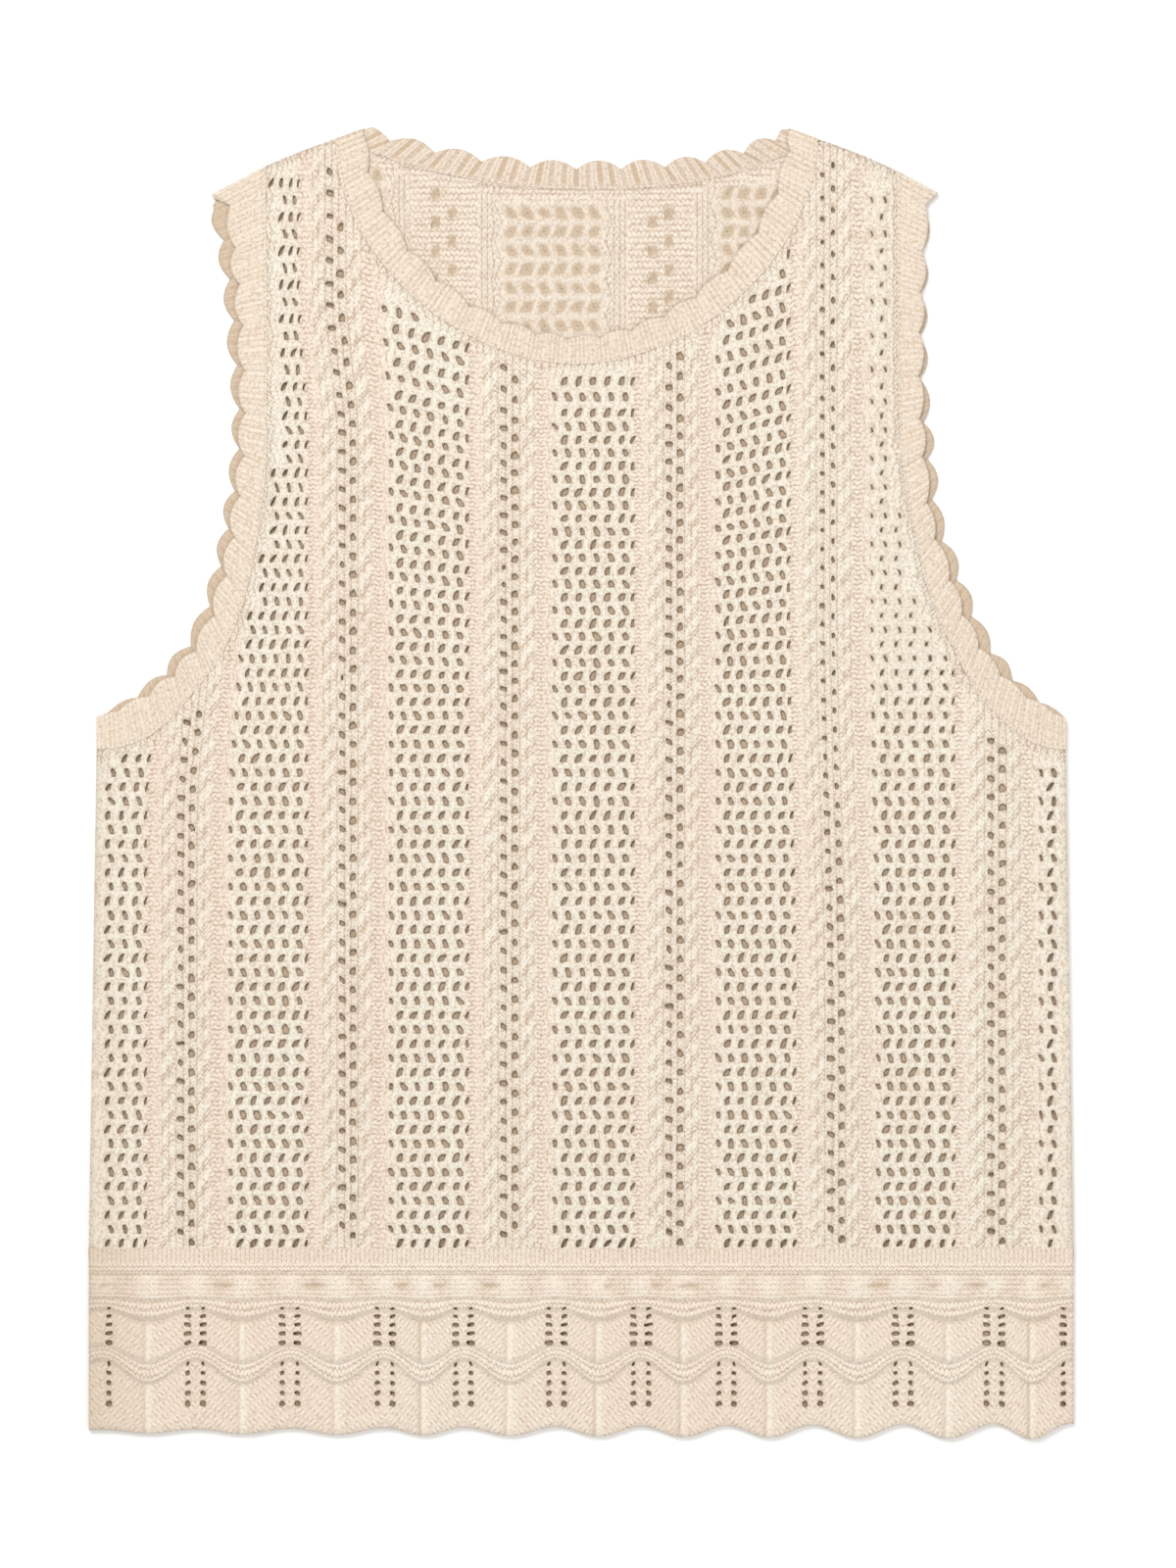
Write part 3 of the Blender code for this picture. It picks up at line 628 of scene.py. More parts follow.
# Rows of the hem: height at an eyelet pair, height between two pairs, relief; mm.
HEM_ROWS = (
    (-202.3, -202.3, 0.05), (-203.25, -203.25, 0.05), (-208.6, -208.6, 0.15),
    (-209.7, -209.7, 0.5), (-212.2, -212.2, 0.5), (-213.5, -213.5, 0.0), (-215.2, -215.2, 0.6),
    (-219.0, -219.2, 0.9), (-223.0, -223.8, 0.7), (-224.8, -226.4, 0.45), (-225.7, -227.6, 0.55),
    (-227.0, -230.8, 0.55), (-229.0, -233.0, 0.05), (-244.2, -251.4, 0.05), (-245.5, -253.4, 0.55),
    (-249.0, -259.4, 0.6), (-250.4, -260.8, 0.0), (-272.0, -276.0, 0.1),
)
HEM_OVER, HEM_LOW, HEM_RELIEF = np.array(HEM_ROWS)[::-1].T
BETWEEN_EYELETS = (  # rows where there are none, at an eyelet pair; mm
    -202.3, -203.2, -203.25, -205.0, -206.8, -208.6, -209.7, -210.9, -212.2, -213.0, -213.5, -214.2,
    -215.2, -216.6, -217.8, -218.6, -219.4, -220.4, -221.7, -223.0, -223.9, -224.8, -225.6, -246.4,
    -247.4, -248.5, -249.2, -273.2, -275.0, -276.8, -278.4, -279.4,
)
TIER_EYELETS = (
    # height at the pair, half the height of its cells, then half width, half height and turn
    (-228.2, 1.7, 0.8, 0.4, 0.5), (-231.6, 1.7, 1.3, 0.7, 0.4), (-235.2, 1.9, 1.55, 0.75, 0.25),
    (-239.0, 1.9, 1.65, 0.85, 0.1), (-243.1, 2.1, 1.75, 1.0, 0.0), (-251.9, 2.0, 0.45, 1.0, 0.3),
    (-256.0, 2.1, 0.9, 0.75, -0.3), (-260.4, 2.3, 1.0, 0.85, -0.35), (-264.9, 2.2, 1.1, 0.9, -0.4),
    (-269.6, 2.4, 1.2, 1.25, -0.5),
)
PURL_RIDGES = ((-211.0, 1.7), (-226.0, 2.6), (-247.1, 2.8))  # middle and half the height, in mm
UNDER_RIDGES = (-229.6, -251.0)
DASHED_LINE = -213.4
TIERS_TOP = -228.5 * MM
BRAID_ROWS = (-223.2 * MM, -214.0 * MM)
BRAID_MIDDLE = -218.6
# Slits where the strands of the braid cross: the middle and half the length of each, in mm.
BRAID_SLITS = (
    (-207.2, 2.0), (-155.2, 4.5), (-116.4, 5.0), (-78.0, 2.6), (-61.8, 2.2), (-39.7, 3.5),
    (11.5, 1.8), (32.8, 2.5), (46.9, 4.7), (128.8, 4.7), (153.1, 1.8), (172.3, 3.7), (201.3, 2.0),
)
NARROW_RINGS = ((0.35, 1.0, 0.2, 0.15), (0.0, 0.4, 0.7, 1.0))


def hem_lines():
    """Lines across the hem with the share of the way from pair to pair, and each eyelet's line."""
    pairs = np.array(HEM_PAIRS) * MM
    lines = []
    for start, end in zip(pairs, pairs[1:]):
        middle = (end - start) / 2
        half = [*(np.array(PAIR_LINES) * MM), *(middle - np.array((1.7, 0.8, 0.0)) * MM)]
        half += list(np.linspace(PAIR_LINES[-1] * MM, middle - 1.7 * MM, 7)[1:-1])
        for step in half:
            lines += [(start + step, step / (end - start)), (end - step, 1 - step / (end - start))]
    for step in (1.2, 3.3, 4.4, pairs[0] / MM + 214):
        lines.append((pairs[0] - step * MM, 1 - step * MM / (pairs[1] - pairs[0])))
    lines.append((HEM_HALF_WIDTH, 1.03))
    lines = np.array(sorted(lines))
    lines = lines[np.concatenate([[True], np.diff(lines[:, 0]) > 0.01 * MM])]
    starts = [(n, -1) for n in lines_at(lines[:, 0], pairs - PAIR_LINES[3] * MM)]
    starts += [(n, 1) for n in lines_at(lines[:, 0], pairs[:-1] + PAIR_LINES[1] * MM)]
    return lines, starts


def hem_rows():
    """Heights of the rows at an eyelet pair, from the edge up, and the first row of each eyelet."""
    rows = list(BETWEEN_EYELETS)
    for height, half, *_ in TIER_EYELETS:
        rows += [height - half, height, height + half]
    rows = np.array(sorted(rows))
    rows = rows[np.concatenate([[True], (np.diff(rows) > 0.45) | (rows[1:] > -203.5)])]
    starts = [int(np.abs(rows - (height - half)).argmin()) for height, half, *_ in TIER_EYELETS]
    return rows * MM, starts


def hem_edge_height(x, share):
    depth = HEM_SCALLOP + HEM_SCALLOP_GROWS * x / HEM_HALF_WIDTH
    return HEM_EDGE + depth * np.cos(2 * math.pi * share)


hem_across, hem_starts = hem_lines()
hem_up, hem_row_starts = hem_rows()


def lay_hem(us, vs):
    """Rows arch over each pair of eyelet columns and dip between them."""
    share = hem_across[:, 1][:, None]
    between = 0.5 - 0.5 * np.cos(2 * math.pi * share)
    over, low = HEM_OVER * MM, HEM_LOW * MM
    level = vs + (np.interp(vs, over, low) - vs) * between
    lowest = over[0] + (low[0] - over[0]) * between
    edge = hem_edge_height(us, share)
    tail = (vs - hem_up[0]) / (over[0] - hem_up[0])
    return np.stack([us, np.where(vs < over[0], edge + (lowest - edge) * tail, level)], axis=-1)


def lay_back_hem(us, vs):
    """The back's eyelets lie a little to the side of the front's."""
    aside = np.interp(vs / MM, (-278, -266, -232, -224), (0, 1, 1, 0))
    room = np.clip((HEM_HALF_WIDTH - np.abs(us)) / (12 * MM), 0, 1)
    return lay_hem(us, vs) + np.stack([5 * MM * aside * room, np.zeros(us.shape)], axis=-1)


def hem_holes():
    """An eyelet in each of its cells, turned towards or away from the other of its pair."""
    holes = {}
    for i, side in hem_starts:
        for j, (_, _, wide, tall, turn) in zip(hem_row_starts, TIER_EYELETS):
            holes[(i, j)] = eyelets(1, wide, tall, turn=turn * side)[0]
    return holes


def back_hem_heights(us, vs, laid, inside):
    """Smooth, and it follows the front hem that lies on it."""
    rolled = 0.8 * MM * fading(inside, 2.5 * MM) ** 2 * (vs < -0.21)
    follows = under_front(laid, inside, 0.7 * BACK_RISE)
    lip = vs > LIP_START
    linked = 0.12 * MM * np.clip((vs + 206 * MM) / (2 * MM), 0, 1)
    return WALL - rolled + follows + linked, (WALL + follows + 0.03 * MM) * lip


def into_slits(x, row):
    """How far into a slit of the braid a place is."""
    across = np.max([bell(x / MM, middle, half, 4) for middle, half in BRAID_SLITS], axis=0)
    return across * bell(row / MM, BRAID_MIDDLE, 0.8)


def hem_looks(stitches, points, depth):
    """Fans of fine wales lean away from the ridge between two pairs. The ridges of rows are purl,
    and the braid is knitted sideways."""
    x, row = stitches.T
    turns = np.unwrap(2 * math.pi * hem_across[:, 1]) / (2 * math.pi)
    share = np.interp(x, hem_across[:, 0], turns) % 1
    from_ridge = (share - 0.5) * PAIR_SPACING
    purl = np.zeros(len(x))
    for at, half in PURL_RIDGES:
        purl = np.maximum(purl, np.clip((half + 0.6 - np.abs(row / MM - at)) / 0.7, 0, 1))
    fan = (row < TIERS_TOP) & (purl < 0.5)
    braid = (row > BRAID_ROWS[0]) & (row < BRAID_ROWS[1])
    aside = np.abs(from_ridge)
    across = np.where(fan, 0.74 * aside + 0.67 * points[:, 1], x)
    climb = np.where(fan, 0.5 * (0.67 * aside - 0.74 * points[:, 1]), row)
    across, climb = np.where(braid, climb, across), np.where(braid, across, climb)

    # Painted shade in the braid's slits and under the ridges of purl, a dark dashed line and a dark
    # line beside each ridge.
    slits = into_slits(x, row)
    for at in UNDER_RIDGES:
        shade = np.sin(math.pi * share) ** 2 * bell(row / MM, at, 0.8)
        slits = np.maximum(slits, 0.75 * shade)
    dashed = 0.5 + 0.5 * np.sin(x / (1.1 * MM)) * np.sin(x / (7.3 * MM))
    slits = np.maximum(slits, 0.6 * dashed * bell(row / MM, DASHED_LINE, 0.5))
    in_tiers = row < TIERS_TOP - 1.1 * MM
    beside = bell(from_ridge / MM, -2.1, 0.55) * in_tiers
    slits = np.maximum(slits, 0.85 * beside * (1 - purl))

    # The humps of the braid and the upright ridges are paler and plainer.
    lump = np.cos(2 * math.pi * share) ** 2 * braid
    ridge = bell(from_ridge, 0, 1.5 * MM) * in_tiers
    rosy = 0.5 + 0.25 * np.sin(x / (31 * MM)) + 0.2 * (1 - purl) + 0.3 * braid - 0.9 * lump
    rosy = np.clip(np.clip(rosy, 0, 1) - 0.8 * ridge, 0, 1)
    # Painted tan shade towards the left edge.
    painted_tan_shade = 0.5 * fading(x + HEM_HALF_WIDTH, 32 * MM)
    knit_share = (0.75 - 0.1 * fan + 0.15 * braid) * (1 - purl)
    knit_share = knit_share * (1 - 0.5 * lump) * (1 - 0.8 * ridge)
    pattern = np.stack([across, climb], axis=1)
    return pattern, (knit_share, purl, np.maximum(depth, 0.85 * slits)), (rosy, 0.0, painted_tan_shade)


def back_hem_looks(stitches, points, depth):
    """The same, and tan painted shade on its upper side, where the front hem covers it."""
    pattern, (knit_share, purl, depth), tone = hem_looks(stitches, points, depth)
    # Painted shade where the front hem lies over it.
    shade_under_front = np.clip((points[:, 2] - 1 * MM) / (0.5 * MM), 0, 1)
    shade_under_front = shade_under_front * (points[:, 1] > HEM_EDGE + 6 * MM)
    return pattern, (knit_share, purl, np.maximum(depth, shade_under_front)), tone


back_hem = knit(
    "back_hem", hem_across[:, 0], hem_up, lay_back_hem, back_hem_heights, back_hem_looks,
    hem_holes(), rings=NARROW_RINGS,
)
# A little darker than the front hem's cotton: painted shade under the front hem.
back_hem_cotton = cotton("cotton_back_hem", "#E6DACB", "#E4D3C1", wale=2.4, course=2.4)
back_hem.data.materials.append(back_hem_cotton)
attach(back_hem, "root")
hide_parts("hem_border_back")


# ---------------------------------------------------------------------------------------------
# Back neck band and back armhole bands. Ribbing in the back's cotton, knitted on along the seam
# and cast off in scallops of four ribs each.

RIB = 4.2 * MM
RIBS_PER_SCALLOP = 4
RIB_HEIGHT = 0.85 * MM
RIB_STEPS = 12
TOUCHING = 0.02 * MM  # all that is left open at a drawn-up seam
SCALLOP_DEPTH = 4.0 * MM
ACROSS_BAND = (-0.06, -0.03, -0.002, 0.002, 0.06, 0.16, 0.3, 0.44, 0.58, 0.72, 0.84, 0.93, 1.0)
# The chain that is linked over the seam: shares of the way across the band, and heights in mm.
CHAIN = ((-0.06, -0.03, 0.0, 0.06, 0.16), (0.04, 0.35, 0.4, 0.3, 0.0))
LIP_HEIGHT = WALL + 0.02 * MM  # of the chain's inner side
# The middle of the armhole bands' scalloped edge, in mm: height, then how far out left and right.
ARMHOLE_EDGE = (
    (255.9, 159.4, 154.2), (248.5, 153.6, 150.4), (228.0, 151.2, 149.0), (200.0, 148.4, 148.0),
    (165.0, 147.4, 147.8), (140.0, 148.0, 149.4), (115.0, 151.0, 152.2), (95.0, 154.4, 158.6),
    (72.0, 161.0, 167.0), (55.0, 170.5, 176.4), (41.5, 184.0, 188.5), (33.0, 198.5, 201.0),
    (28.0, 210.3, 210.3),
)
# How far the back armhole bands show past the front ones: share of the way, left and right, mm.
BACK_BAND_SHOWS = (
    (0.00, 0.4, -0.8), (0.008, 4.0, -0.7), (0.02, 4.6, -0.5), (0.05, 6.0, -0.1), (0.13, 4.3, 0.2),
    (0.20, 4.2, 0.4), (0.27, 4.0, 0.7), (0.35, 2.9, 1.6), (0.42, 2.6, 2.7), (0.52, 3.0, 3.1),
    (0.65, 3.6, 3.5), (0.75, 3.8, 4.1), (0.85, 3.4, 3.4), (0.93, 2.0, 2.0), (1.00, 0.2, 0.2),
)
BACK_NOTCHES = {  # between the scallops, in mm along the edge from the left or from the shoulder
    "neck": (12.4, 32.4, 52.9, 74.1, 94.1, 113.4, 132.6, 150, 166.9, 181.7),
    "left": (3, 21, 38, 56, 75.5, 94.5, 111.5, 130, 146.5, 163, 181, 200, 216, 232, 248),
    "right": (8, 28, 46, 64, 82, 101, 117, 134.5, 153, 171, 188, 206, 221, 236),
}


def outward(line, side):
    """Unit normals of a line, on its left for side 1 and on its right for side -1."""
    ahead = np.gradient(line, axis=0)
    ahead /= np.linalg.norm(ahead, axis=1)[:, None]
    return side * np.stack([-ahead[:, 1], ahead[:, 0]], axis=1)


def ribbing(
    name, seam, edge, notches, away, level, shallow=1.0, side=0, cover=None, linked=None, painted_tan_shade=0.0,
    ridge=0.2, valley_painted_shade=0.5, scallop=SCALLOP_DEPTH, fine=1,
):
    """A band of ribs between its seam and its scalloped edge, four ribs to a scallop.

    away is the side of the edge that the scallops point to: 1 for the left of the line and -1 for
    the right. A neck band ends on the two shoulders, and the armhole band of a side on a shoulder
    and the underarm, where its scallops are shallow. level gives the height of its inner side,
    cover how far its ribs stand up where another band lies on them, and linked where it has a
    narrow lip over the edge of the panel, which hides the seam. worn and valley_painted_shade are
    how much tan painted shade it has all over and between its ribs. fine is how many columns of
    stitches a rib is drawn as, and ridge is half the width of one, as a share of the way to the
    next.
    """
    marks = [2 * notches[0] - notches[1], *notches, 2 * notches[-1] - notches[-2]]
    steps = RIBS_PER_SCALLOP * RIB_STEPS
    phases = np.arange((len(marks) - 1) * steps + 1) / steps
    length = np.linalg.norm(np.diff(edge, axis=0), axis=1).sum()
    places = np.interp(phases, np.arange(len(marks)), marks) * MM / length
    kept = (places > 0.0015) & (places < 0.9985)
    first, last = np.interp([0, 1], places, phases)
    phases = np.array([first, *phases[kept], last])
    shares = np.array([0, *places[kept], 1])
    swell = np.abs(np.sin(math.pi * phases)) ** 0.8 - 0.5
    depth = scallop * np.interp(shares, [0.85, 1], [1, shallow])
    if not side:
        depth = depth * smooth_step(np.minimum(shares, 1 - shares) / 0.02)
    base = along(edge, shares)
    free = base + outward(base, away) * (swell * depth)[:, None]
    for end in (0,) if side else (0, -1):
        free[end][1] = shoulder_height(free[end][0])
    if side:
        free[-1][0] = side * SIDE_HALF_WIDTH
    sewn = along(seam, shares)
    toward = free - sewn
    sewn = sewn + toward / np.linalg.norm(toward, axis=1)[:, None] * TOUCHING
    ribs = phases * RIBS_PER_SCALLOP
    link = np.ones((len(ribs), 1)) if linked is None else linked(sewn)[:, None]

    def lay(us, vs):
        vs = np.where(vs < 0, vs * np.maximum(link, 0.01), vs)
        return sewn[:, None] + (free - sewn)[:, None] * vs[..., None]

    def heights(us, vs, laid, inside):
        crest = (0.5 - 0.5 * np.cos(2 * math.pi * ribs)) ** 0.7
        crest = crest - 0.25 * bell(ribs % 1, 0.5, 0.08)
        along_rib = np.interp(vs[0], [0, 0.16, 0.7, 1.0], [0.0, 0.9, 1.0, 0.7])
        raised = RIB_HEIGHT * crest[:, None] * along_rib
        if cover is not None:
            raised = raised * cover(laid)
        rolled = 0.9 * MM * np.clip((vs - 0.85) / 0.15, 0, 1) ** 2
        bottom = level(laid[..., 0], laid[..., 1])
        chain = np.interp(vs, *CHAIN) * MM * link
        top = bottom + WALL + np.maximum(raised, chain) - rolled - 0.05 * MM * (vs > 0.1)
        return top, bottom + LIP_HEIGHT * (vs < 0)

    def looks(stitches, points, depth):
        rib, share = stitches.T
        across_rib = rib * fine % 1
        valley = smooth_step((np.abs(across_rib - 0.5) - ridge) / 0.16)
        middle = (1 - valley) * bell(across_rib, 0.5, 0.07) * (fine < 2)
        pattern = np.stack([rib * RIB, share * 12 * MM + 1.1 * MM], axis=1)
        chain = np.clip(1.5 - share / 0.06, 0, 1)
        valley = valley * (1 - chain)
        # Painted tan shade: over the whole band, in the valleys between the ribs, and in the groove
        # down the middle of each rib.
        tan = painted_tan_shade + valley_painted_shade * valley * (1 + 0.4 * np.sin(rib * 2.3)) + 0.45 * middle
        ground = (0.35 * (1 - valley), np.maximum(valley * 0.6, chain), 0.0)
        return pattern, ground, (0.55, 0.0, np.clip(tan, 0, 1))

    across_band = np.array(ACROSS_BAND)
    if linked is not None and not linked(sewn).any():
        across_band = across_band[across_band > 0]
        across_band[0] = 0.0
    return knit(name, ribs, across_band, lay, heights, looks)


def on_surface(x, y):
    """Height of the inner side of the back bands."""
    return np.zeros(np.shape(x))


def clear_of_front_band(laid):
    """The back neck band's ribs end where the front one lies on it."""
    out = np.abs(laid[..., 0] - SHOULDER_CENTRE)
    return np.clip((NECK_POINT - BAND_WIDTH_AT_NECK + 2 * MM - out) / (3 * MM), 0, 1)


def under_front_band(laid):
    """The back armhole bands' ribs are pressed to less than half by the front ones on them."""
    return 0.4


def not_linked(sewn):
    """The front covers the seams of the back armhole bands, so they have no lip."""
    return np.zeros(len(sewn))


bands_back = {}
back_edge = neck_line("back_edge", NECK_POINT)
bands_back["neck"] = ribbing(
    "back_neck_band", back_neck, back_edge, BACK_NOTCHES["neck"], 1, on_surface,
    cover=clear_of_front_band, linked=clear_of_front_band, painted_tan_shade=0.05, valley_painted_shade=0.8,
)
for side, hand in ((-1, "left"), (1, "right")):
    middle = evenly(armhole_line(ARMHOLE_EDGE, side), 121)
    shares, left, right = np.array(BACK_BAND_SHOWS).T
    shown = np.interp(np.linspace(0, 1, 121), shares, left if side < 0 else right) * MM
    middle = middle + outward(middle, side) * shown[:, None]
    bands_back[hand] = ribbing(
        f"back_armhole_band_{hand}", armhole_seam(side), middle, BACK_NOTCHES[hand], side,
        on_surface, shallow=0.3, side=side, cover=under_front_band, linked=not_linked, painted_tan_shade=0.7,
        valley_painted_shade=0.45,
    )
# A little darker than the front bands' cotton: painted shade.
back_rib = cotton("cotton_back_rib", "#E6DCCE", "#E4D6C6", wale=2.1, course=2.4, contrast=0.7)
for hand, band in bands_back.items():
    band.data.materials.append(back_rib)
    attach(band, "root")
    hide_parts("neck_band_back" if hand == "neck" else f"armhole_band_back_{hand}")


# ---------------------------------------------------------------------------------------------
# Front panel. The same cotton, in columns of net between purl gutters, raised knit cables and
# strips of staggered eyelets. It is sewn to the back at the shoulders and down the sides.

FRONT_BASE = WALL + SEAM_GAP
LACE_HOLLOW = 0.85 * MM  # how far the inner side of the lace is drawn in
REPEAT = 70.3 * MM  # from one column of net to the next
NET_CENTRE = 4.3 * MM
HALF_ROW = 3.1 * MM
SWAY = 0.88 * MM
NET_LINES = (  # from the middle of a column of net, in mm
    -18.75, -16.2, -13.65, -10.6, -7.55, -4.5, -1.45, 1.6, 4.65, 7.7, 10.75, 13.8, 16.85, 18.35,
    19.85,
)
KNIT_LINES = (
    -34.5, -32.5, -30.5, -28.6, -26.7, -24.8, -22.9, -20.8, 21.7, 23.4, 25.2, 27.1, 29.0, 31.0,
    33.0, 35.0,
)
RELIEF = (  # how far the cloth stands up there, in mm
    (-35.2, 0.0), (-30.5, 0.05), (-26.7, 0.8), (-22.9, 0.0), (-19.5, -0.35), (-16.2, -0.4),
    (17.5, -0.4), (21.7, -0.35), (23.4, 0.0), (27.1, 0.8), (31.0, 0.05), (35.2, 0.0),
)
# How far the columns have moved over: where they were cast on, and how far to the right, in mm.
COLUMN_SHIFTS = (
    (-214, 0.0), (-136, -0.8), (-101, -0.5), (-66, -1.7), (-31, -0.6), (4.3, 0.0), (40, 1.0),
    (74.6, 0.0), (110, 1.0), (145, -1.6), (180, 0.3), (214, 0.0),
)
# How the columns lean to the left further up: x, half the width of cloth that does, height where it
# starts, height over which it grows, and how far, in mm.
COLUMN_LEANS = ((-101.5, 25, 150, 60, 5.5), (111.3, 30, -100, 180, 3.8))
# The net's eyelets, as eyelets takes them. Its rows lean right and left in turn, and a narrow one
# ends or begins each row.
RIGHT_ROW = ((0.98, 1.8, 0.46, 0.05), (0.5, 1.6, 0.4))
LEFT_ROW = ((0.7, 1.5, -0.42), (1.04, 1.8, -0.4, 0.3))
# How far columns of net beside the armholes are drawn together, by their number from the middle:
# in width, in height, and how much more painted shade their eyelets get.
NET_DRAWN = {-2: (0.4, 0.0, 0.0), 2: (0.9, 0.5, 0.15)}
LEFT_DRAWN = (-160 * MM, -119 * MM, 0.16)  # the cloth between these x, by this share of its width
NARROW_AT_SIDES = 0.75  # the eyelets beside the side seams
STRIP_DRAWN = (0.5, 0.25)  # the same for the strip at the right armhole, in width and height
EYELET_PITCH = 8.2 * MM
STRIP_EYELETS = {"left": (1.75, 0.85, 0.0, 0.0, -0.6), "right": (1.4, 1.45, 0.0, 0.45, 0.1)}
STRIP_LINES = {"left": 31.0, "right": REPEAT / MM - 34.5}  # past the net to its left, in mm
EYELET_STARTS = {  # height of one eyelet of each column in mm, by its strip from the left
    "left": (1.5, 4.4, 0.6, 1.4, 3.0, 1.8), "right": (-2.9, 0.1, -3.8, -2.8, -1.6, -2.3),
}


def drawn_together(height):
    """How far the net beside the armholes is drawn together at a height, from 0 to 1."""
    return smooth_step((height + 0.02) / 0.10)


def front_level(x, y):
    """Height of the front's inner side at its seams, and of what it is drawn in from elsewhere."""
    return FRONT_BASE + loft(x, y)


def hollow(inside):
    """How far the inner side of the lace is drawn in, from nothing at its edge."""
    return LACE_HOLLOW * np.clip(inside / (4 * MM), 0, 1)


def lay_front(us, vs):
    """Where the front's own stitch lines lie: the net sways, the columns drift apart towards the
    shoulders, where the rows are taller, and beside the neck the rows run down to the middle."""
    off = from_column(us, NET_CENTRE, REPEAT)
    in_net = np.clip((22 * MM - np.abs(off)) / (3 * MM), 0, 1)
    sway = np.cos(math.pi * (vs - front_up[3]) / (2 * HALF_ROW))
    cast_on, moved = np.array(COLUMN_SHIFTS).T * MM
    x = us + np.interp(us, cast_on, moved) - SWAY * in_net * sway
    for middle, reach, start, over, lean in np.array(COLUMN_LEANS) * MM:
        x = x - lean * (bell(us, middle, reach) * smooth_step((vs - start) / over))
    end, start, share = LEFT_DRAWN
    drawn = share * drawn_together(vs) * (us < start)
    x = x - drawn * np.maximum(us, end) + drawn * start
    slope = 0.3 * np.clip((vs - 0.03) / 0.18, 0, 1)
    inwards = np.clip(95 * MM - np.abs(us - 2 * MM), 0, 48 * MM)
    stretch = np.maximum(vs - 0.17, 0) * 0.19
    return np.stack([x, vs + eyelet_shifts + stretch - slope * inwards], axis=-1)


def front_heights(us, vs, laid, inside):
    """Cables stand up, the net is sunk between them and its strands are rounded, and the cloth
    curls down along the side seams."""
    off = from_column(us, NET_CENTRE, REPEAT)
    outs, lifts = np.array(RELIEF).T * MM
    level = front_level(laid[..., 0], laid[..., 1])
    raised = np.interp(off, outs, lifts)
    in_net = np.abs(off) < 17 * MM
    raised[:, 2::2] += 0.16 * MM * in_net[:, 2::2]
    raised += 0.07 * MM * chance.normal(0, 1, us.shape)
    raised = raised * smooth_step(inside / (5 * MM))
    rolled = 0.8 * fading(HEM_HALF_WIDTH - np.abs(laid[..., 0]), 4 * MM) ** 2
    return level + WALL + raised - rolled * MM, level + hollow(inside)


def front_looks(stitches, points, depth):
    """Zones of net, purl gutter, cable and eyelet strip, rosiest in the gutters at the left."""
    off = from_column(stitches[:, 0], NET_CENTRE, REPEAT) / MM

    def zone(start, end, fade=0.8):
        return np.clip(np.minimum(off - start, end - off) / fade + 0.5, 0, 1)

    left_purl, left_gutter = zone(-23.3, -20.2), zone(-20.2, -16.0)
    right_purl, right_gutter = zone(17.0, 20.8), zone(20.8, 24.5)
    cable = zone(-30.3, -23.3) + zone(24.5, 31.0)
    strip = 1 - zone(-30.3, 31.0)
    purl = left_purl + right_purl + 0.4 * left_gutter + 0.5 * right_gutter
    rosy = 0.8 * (left_gutter + right_gutter + left_purl + right_purl) + 0.2 * cable + 0.35 * strip
    rosy = rosy * (0.8 - 1.4 * points[:, 0])
    # Painted tan shade along the side edges, where the cloth curls down, more at the left.
    left_edge = fading(points[:, 0] + HEM_HALF_WIDTH, 16 * MM)
    right_edge = fading(HEM_HALF_WIDTH - points[:, 0], 8 * MM)
    painted_tan_shade = np.clip(0.35 * left_edge + 0.2 * right_edge, 0, 1)
    by_seam = np.clip(1.6 - to_outline(points[:, :2], front_outline)[1] / (4 * MM), 0, 1)
    by_seam = by_seam * (points[:, 1] > 0.01)
    cable = cable * (1 - by_seam)
    knit_share = 0.8 * strip + 0.35 * left_gutter + 0.35 * zone(-16.0, 17.0) + 0.5 * cable
    knit_share, cable = np.maximum(knit_share, by_seam), 0.6 * cable
    pattern = stitches - np.array([NET_CENTRE + 0.075 * MM, 0])
    return pattern, (knit_share, np.clip(purl, 0, 1), depth), (rosy, cable, painted_tan_shade)


front_outline = panel_outline(neck_seam("front_seam"))
front_across = []
for repeat in range(-4, 5):
    front_across += [NET_CENTRE + repeat * REPEAT + off * MM for off in (*NET_LINES, *KNIT_LINES)]
front_across = np.array(sorted(x for x in front_across if abs(x) < HEM_HALF_WIDTH + 5 * MM))
front_up = BODY_BOTTOM + np.array([-3.1, 0, 0.7, *(2.9 + 3.1 * np.arange(152))]) * MM
front_holes = {}
for repeat in range(-4, 5):
    middle = NET_CENTRE + repeat * REPEAT
    cells = lines_at(front_across, [middle + off * MM for off in NET_LINES[2:12:2]])
    before = lines_at(front_across, [middle + NET_LINES[0] * MM])
    after = lines_at(front_across, [middle + NET_LINES[12] * MM])
    for j in range(2, len(front_up) - 2, 2):
        groups, kinds = ((cells, after), RIGHT_ROW) if j % 4 == 2 else ((before, cells), LEFT_ROW)
        sizes = np.vstack([eyelets(len(group), *kind) for group, kind in zip(groups, kinds)])
        drawn = drawn_together(front_up[j])
        narrower, lower, deeper = NET_DRAWN.get(repeat, (0, 0, 0))
        sizes[:, :2] *= (1 - narrower * drawn, 1 - lower * drawn)
        # More painted shade in the eyelets where the net is drawn together.
        sizes[:, 6] += deeper * drawn
        if abs(repeat) == 3:
            sizes[:, 0] *= NARROW_AT_SIDES
        front_holes.update({(i, j): size for i, size in zip(groups[0] + groups[1], sizes)})
eyelet_shifts = np.zeros((len(front_across), len(front_up)))
